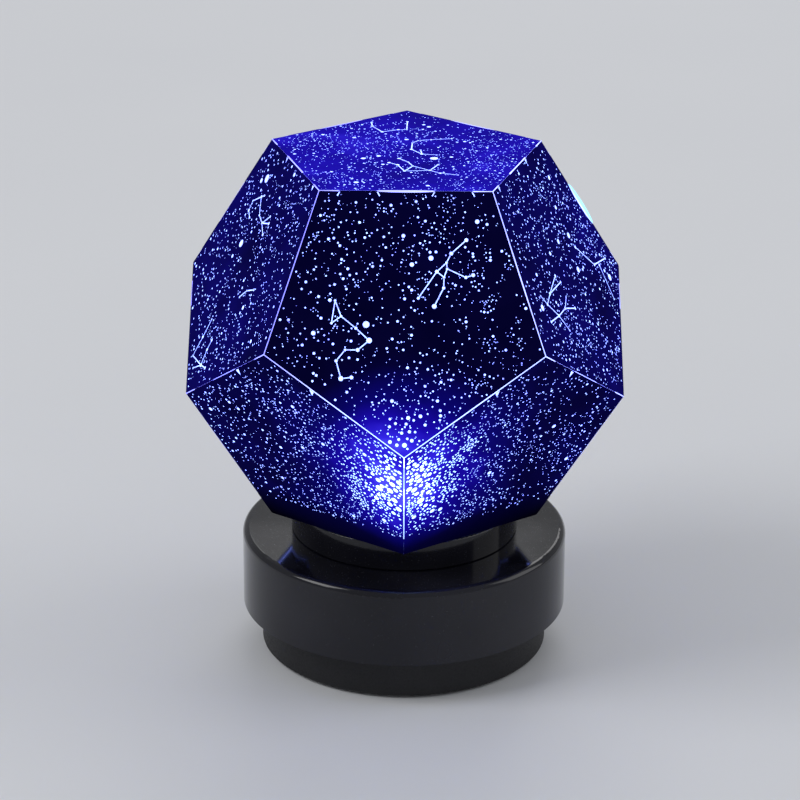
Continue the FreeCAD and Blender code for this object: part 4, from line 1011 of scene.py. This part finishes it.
# %% Make one ink layer
def ink_layer(name, outline, holes, painted_light_at):
    """Ink with these holes; every triangle corner knows the number of the outline that it is from."""
    points, edges, owner = [], [], []
    for number, loop in enumerate([outline] + list(holes)):
        first = len(points)
        points += [Vector((float(x), float(y))) for x, y in loop]
        edges += [(first + i, first + (i + 1) % len(loop)) for i in range(len(loop))]
        owner += [number] * len(loop)
    spots, _, faces, origins, _, _ = delaunay_2d_cdt(points, edges, [], 0, SAME_SPOT)
    owner = [owner[o[0]] if o else -1 for o in origins]
    kept = []
    border = [tuple(spot) for spot in outline]
    lines = {number: [tuple(spot) for spot in loop] for number, loop in enumerate(holes, 1) if len(loop) < 5}
    for face in faces:
        owners = {owner[v] for v in face}
        centre = sum((spots[v] for v in face), Vector((0, 0))) / 3
        if owners == {0} and not in_outline(centre, border):
            continue
        if len(owners) == 1 and owners != {0}:
            continue
        if owners <= {-1, *lines} and any(in_outline(centre, loop) for loop in lines.values()):
            continue
        kept.append(face)
    mesh = bpy.data.meshes.new(name)
    mesh.from_pydata([(p.x * MM, p.y * MM, 0) for p in spots], [], kept)
    mesh.update()
    leaks_and_reflections = mesh.attributes.new("leak", "FLOAT", "POINT")
    leaks_and_reflections.data.foreach_set("value", [painted_light_at(p.x, p.y) for p in spots])
    layer = bpy.data.objects.new(name, mesh)
    bpy.context.scene.collection.objects.link(layer)
    select_only(layer)
    bpy.ops.object.modifier_add(type="SOLIDIFY")
    layer.modifiers[-1].thickness = INK_DEPTH
    layer.modifiers[-1].offset = -1
    bpy.ops.object.modifier_apply(modifier=layer.modifiers[-1].name)
    return layer


print("ink layers can be made")

# %% [markdown]
# ## The clear film
# The film is a flat five-sided plate whose edges are cut at half the fold angle, so two plates meet
# like the corner of a box. It starts as a five-sided disc, and one extrude with a resize gives it
# depth and the slanted edge. A bevel could slant the edge too, but it would round the corners. An inset
# marks off the rim, half a millimetre of the outer face, which has the rim's finish with the sides.

# %% Film plate
FILM_DEPTH = 0.5 * MM
RIM_WIDTH = 0.5 * MM
UNDER_INK = 0.01 * MM
BEVEL = FOLD / 2


def extrude_all(depth, share=1.0):
    """Extrude a flat piece along Z, shrink its new end, and point all the faces outwards."""
    bpy.ops.mesh.select_all(action="SELECT")
    bpy.ops.mesh.extrude_region_move(TRANSFORM_OT_translate={"value": (0, 0, depth)})
    bpy.ops.transform.resize(value=(share, share, 1), center_override=(0, 0, 0))
    bpy.ops.mesh.select_all(action="SELECT")
    bpy.ops.mesh.normals_make_consistent(inside=False)


def film_plate(name):
    bpy.ops.object.select_all(action="DESELECT")
    apothem = CORNER * math.cos(HALF_ANGLE)
    top = INK_DEPTH + UNDER_INK
    radius = CORNER * (1 - top * math.tan(BEVEL) / apothem)
    bpy.ops.mesh.primitive_circle_add(vertices=5, radius=radius, fill_type="NGON", location=(0, 0, -top),
                                      rotation=(0, 0, math.radians(-90)))
    plate = bpy.context.object
    plate.name = name
    bpy.ops.object.transform_apply(location=True, rotation=True, scale=True)
    bpy.ops.object.mode_set(mode="EDIT")
    depth = FILM_DEPTH - top
    extrude_all(-depth, 1 - depth * math.tan(BEVEL) / (apothem - top * math.tan(BEVEL)))
    bpy.ops.mesh.select_all(action="DESELECT")
    bpy.ops.object.mode_set(mode="OBJECT")
    for face in plate.data.polygons:
        face.select = face.normal.z > 0.9
    bpy.ops.object.mode_set(mode="EDIT")
    bpy.ops.mesh.inset(thickness=RIM_WIDTH)
    bpy.ops.object.mode_set(mode="OBJECT")
    plate.data.materials.append(FILM)
    plate.data.materials.append(RIM)
    for face in plate.data.polygons:
        face.material_index = 1 if len(face.vertices) == 4 else 0
    return plate


print("film plates can be made")

# %% [markdown]
# ## Black tabs behind the folds
# Each sheet has five tabs of the same film, printed black, which are bent in along its folds and tuck
# behind the neighbours. Folded from the plate itself they would share its clear finish, so each tab is
# a plate of its own: a plane, narrowed at its free end, thickened and turned inwards.

# %% Tabs
TAB_REACH, TAB_WIDTH, TAB_SLANT, TAB_DEPTH = 6.0, 12.6, 1.4, 0.4
TAB_GAP = 0.02
TAB_SHIFT = TAB[0] + TAB_WIDTH / 2 - LENGTH / 2


def stretch_y(share):
    """Scale what is selected across the piece, about its middle line."""
    bpy.ops.transform.resize(value=(1, share, 1), center_override=(0, 0, 0))


def tab_plate(k):
    """One tab: a flat strip, narrowed at its free end, thickened and bent in along fold k."""
    bpy.ops.object.select_all(action="DESELECT")
    bpy.ops.mesh.primitive_plane_add(size=TAB_REACH * MM, location=(TAB_REACH / 2 * MM, 0, 0))
    tab = bpy.context.object
    bpy.ops.object.transform_apply(location=True, rotation=True, scale=True)
    bpy.ops.object.mode_set(mode="EDIT")
    bpy.ops.mesh.select_all(action="SELECT")
    stretch_y(TAB_WIDTH / TAB_REACH)
    bpy.ops.mesh.select_all(action="DESELECT")
    bpy.ops.object.mode_set(mode="OBJECT")
    for vertex in tab.data.vertices:
        vertex.select = vertex.co.x > TAB_REACH / 2 * MM
    bpy.ops.object.mode_set(mode="EDIT")
    stretch_y(1 - 2 * TAB_SLANT / TAB_WIDTH)
    extrude_all(-TAB_DEPTH * MM)
    bpy.ops.object.mode_set(mode="OBJECT")
    depth = FILM_DEPTH + TAB_GAP * MM
    reach = APOTHEM * MM - math.sin(FOLD) * depth
    fold = Matrix.Translation((reach, TAB_SHIFT * MM, -math.cos(FOLD) * depth))
    turn = Matrix.Rotation(math.radians(36 + 72 * k), 4, "Z")
    tab.data.transform(turn @ fold @ Matrix.Rotation(FOLD, 4, "Y"))
    return tab


def tab_plates(name):
    tabs = [tab_plate(k) for k in range(5)]
    select_only(*tabs)
    bpy.ops.object.join()
    tabs[0].name = name
    return tabs[0]


print("tabs can be made")

# %% [markdown]
# ## Making all eleven sheets
# One sheet could be made and copied ten times, but then every side would show the same stars. So every
# sheet gets its own chart, its ink layer joined with its black tabs, and its film plate. The mesh is
# taken to its place, so that the object itself stays at the origin.

# %% Make the sheets
FIRST_SEED = 11
DOTS = {"top": 1350, "upper": 1150, "lower": 1300, "upper_5": 980}
triangles = 0
for seed, (name, place) in enumerate(PLACES.items(), start=FIRST_SEED):
    chart = Chart(name, place, seed)
    outline = ink_outline(name, place, chart.rng)
    chart.guard(outline)
    fill_chart(chart, DOTS.get(name) or DOTS[row(chart)])
    ink = ink_layer(f"ink_{name}", outline, chart.holes, lambda x, y: leak(chart, x, y))
    select_only(ink, tab_plates(f"tabs_{name}"))
    bpy.ops.object.join()
    film = film_plate(f"film_{name}")
    dress(ink, INK)
    for piece in (ink, film):
        piece.data.transform(place)
        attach(piece, "turntable")
        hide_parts(f"sheet_{name}")
    count = sum(len(p.vertices) - 2 for p in ink.data.polygons)
    triangles += count
    print(name, len(chart.holes), "dots,", count, "triangles")
print("all ink layers:", triangles, "triangles")

# %% [markdown]
# ## Where the sheets bow apart
# On two folds at the back the sheets bow apart, and a lip of clear film stands out between them and
# catches the light. Bending the plates would spoil their flat charts, so each lip is a piece of its
# own, half of a flat oval: a circle, pressed to an oval, cut in two by a bisect and given its thickness
# by an extrude. It then stands on the middle of the fold.

# %% Fold lips
def fold_lip(sheet, k, half_length=9.3, rise=0.85, depth=0.3):
    """A lip on fold k of a sheet; its foot reaches a little way into the gap."""
    bpy.ops.object.select_all(action="DESELECT")
    bpy.ops.mesh.primitive_circle_add(vertices=48, radius=half_length * MM, fill_type="NGON")
    lip = bpy.context.object
    bpy.ops.object.mode_set(mode="EDIT")
    bpy.ops.mesh.select_all(action="SELECT")
    stretch_y(rise / half_length)
    bpy.ops.mesh.bisect(plane_co=(0, -SEAM, 0), plane_no=(0, 1, 0), clear_inner=True)
    extrude_all(depth * MM)
    bpy.ops.object.mode_set(mode="OBJECT")
    middle = PLACES[sheet] @ Vector((*edge_spot(k, LENGTH / 2, 0) * MM, 0))
    along = (PLACES[sheet] @ Vector((*corner_spot(k + 1) * MM, 0)) - middle).normalized()
    out = (middle - Vector((0, 0, CENTRE))).normalized()
    turn = Matrix((along, out, along.cross(out))).transposed().to_4x4()
    lip.data.transform(Matrix.Translation(middle) @ turn @ Matrix.Translation((0, 0, -depth / 2 * MM)))
    lip.name = f"fold_lip_{sheet}"
    dress(lip, LIP)
    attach(lip, "turntable")
    return lip


lips = [fold_lip("upper_2", 1), fold_lip("upper_3", 1)]
print(len(lips), "lips with", sum(len(lip.data.polygons) for lip in lips), "faces")

# %% [markdown]
# ## The floor
# A plain pale floor shows the lamp as it is, without colouring it. It could curve up into a backdrop,
# but one that is far larger than the view shows no horizon either, and it is simpler.

# %% Floor
FLOOR_SIZE = 20.0


def pale_floor():
    finish = Finish("pale_floor", IOR=1.45, Specular_IOR_Level=0.3)
    cloud = finish.noise(3, 3)
    fine = finish.noise(400, 3)
    finish.set(Base_Color=finish.mix(cloud, (0.72, 0.73, 0.76), (0.78, 0.79, 0.81)))
    finish.set(Roughness=0.62 + fine * 0.1)
    finish.bump(fine, 0.05, 0.0002)
    return finish.material


bpy.ops.object.select_all(action="DESELECT")
bpy.ops.mesh.primitive_plane_add(size=FLOOR_SIZE, location=(0, 0, 0))
floor = bpy.context.object
floor.name = "floor"
dress(floor, pale_floor())
print("floor laid")

# %% [markdown]
# ## Soft studio light
# Black gloss shows nothing but what it mirrors. A pale world gives it an even grey to mirror, and three
# large soft lamps lay broad highlights on the drum's rounded rim, where small lamps would leave dots.

# %% World and lamps
AIM = Vector((0, 0, 0.09))
world = bpy.data.worlds.new("pale_room")
bpy.context.scene.world = world
world.use_nodes = True
room = world.node_tree.nodes["Background"]
room.inputs["Color"].default_value = (0.86, 0.88, 0.92, 1)
room.inputs["Strength"].default_value = 0.42


def soft_lamp(name, spot, size, power):
    """A square area light that looks at the lamp's middle."""
    lamp = bpy.data.lights.new(name, "AREA")
    lamp.shape = "SQUARE"
    lamp.size = size
    lamp.energy = power
    holder = bpy.data.objects.new(name, lamp)
    holder.location = spot
    holder.rotation_euler = (AIM - Vector(spot)).to_track_quat("-Z", "Y").to_euler()
    bpy.context.scene.collection.objects.link(holder)


soft_lamp("key_lamp", (-1.5, -0.5, 1.5), 1.0, 15.0)
soft_lamp("fill_lamp", (1.7, 0.1, 1.0), 1.2, 7.0)
soft_lamp("back_lamp", (0.2, 1.6, 1.5), 1.2, 9.0)
print("three lamps and a pale world")

# %% [markdown]
# ## The camera
# The camera stands far off with a long lens, as one does to picture a small object, so the shade looks
# almost free of perspective. Its place is given by two angles and a distance in edge lengths, which
# stays right if the shade's size changes, where plain coordinates would not.

# %% Camera
TARGET = (-1.82 * MM, 0, SHADE_BOTTOM + 0.64359 * EDGE)
ELEVATION, AZIMUTH, ROLL = 22.3785, 0.2179, 0.3115
DISTANCE = 20.4313 * EDGE
LENS = 150.378


def set_camera(target, elevation, azimuth, roll, distance, lens):
    """A camera that looks at target from a distance, turned by roll about its own axis."""
    e, a, r = (math.radians(x) for x in (elevation, azimuth, roll))
    back = Vector((math.sin(a) * math.cos(e), -math.cos(a) * math.cos(e), math.sin(e)))
    right = Vector((math.cos(a), math.sin(a), 0))
    up = back.cross(right)
    side = math.cos(r) * right + math.sin(r) * up
    top = -math.sin(r) * right + math.cos(r) * up
    data = bpy.data.cameras.new("camera")
    data.lens = lens
    data.sensor_width = 36
    camera = bpy.data.objects.new("camera", data)
    turn = Matrix((side, top, back)).transposed().to_4x4()
    camera.matrix_world = Matrix.Translation(Vector(target) + back * distance) @ turn
    bpy.context.scene.collection.objects.link(camera)
    bpy.context.scene.camera = camera


set_camera(TARGET, ELEVATION, AZIMUTH, ROLL, DISTANCE, LENS)
bpy.context.scene.view_settings.view_transform = "Standard"
print("camera set")
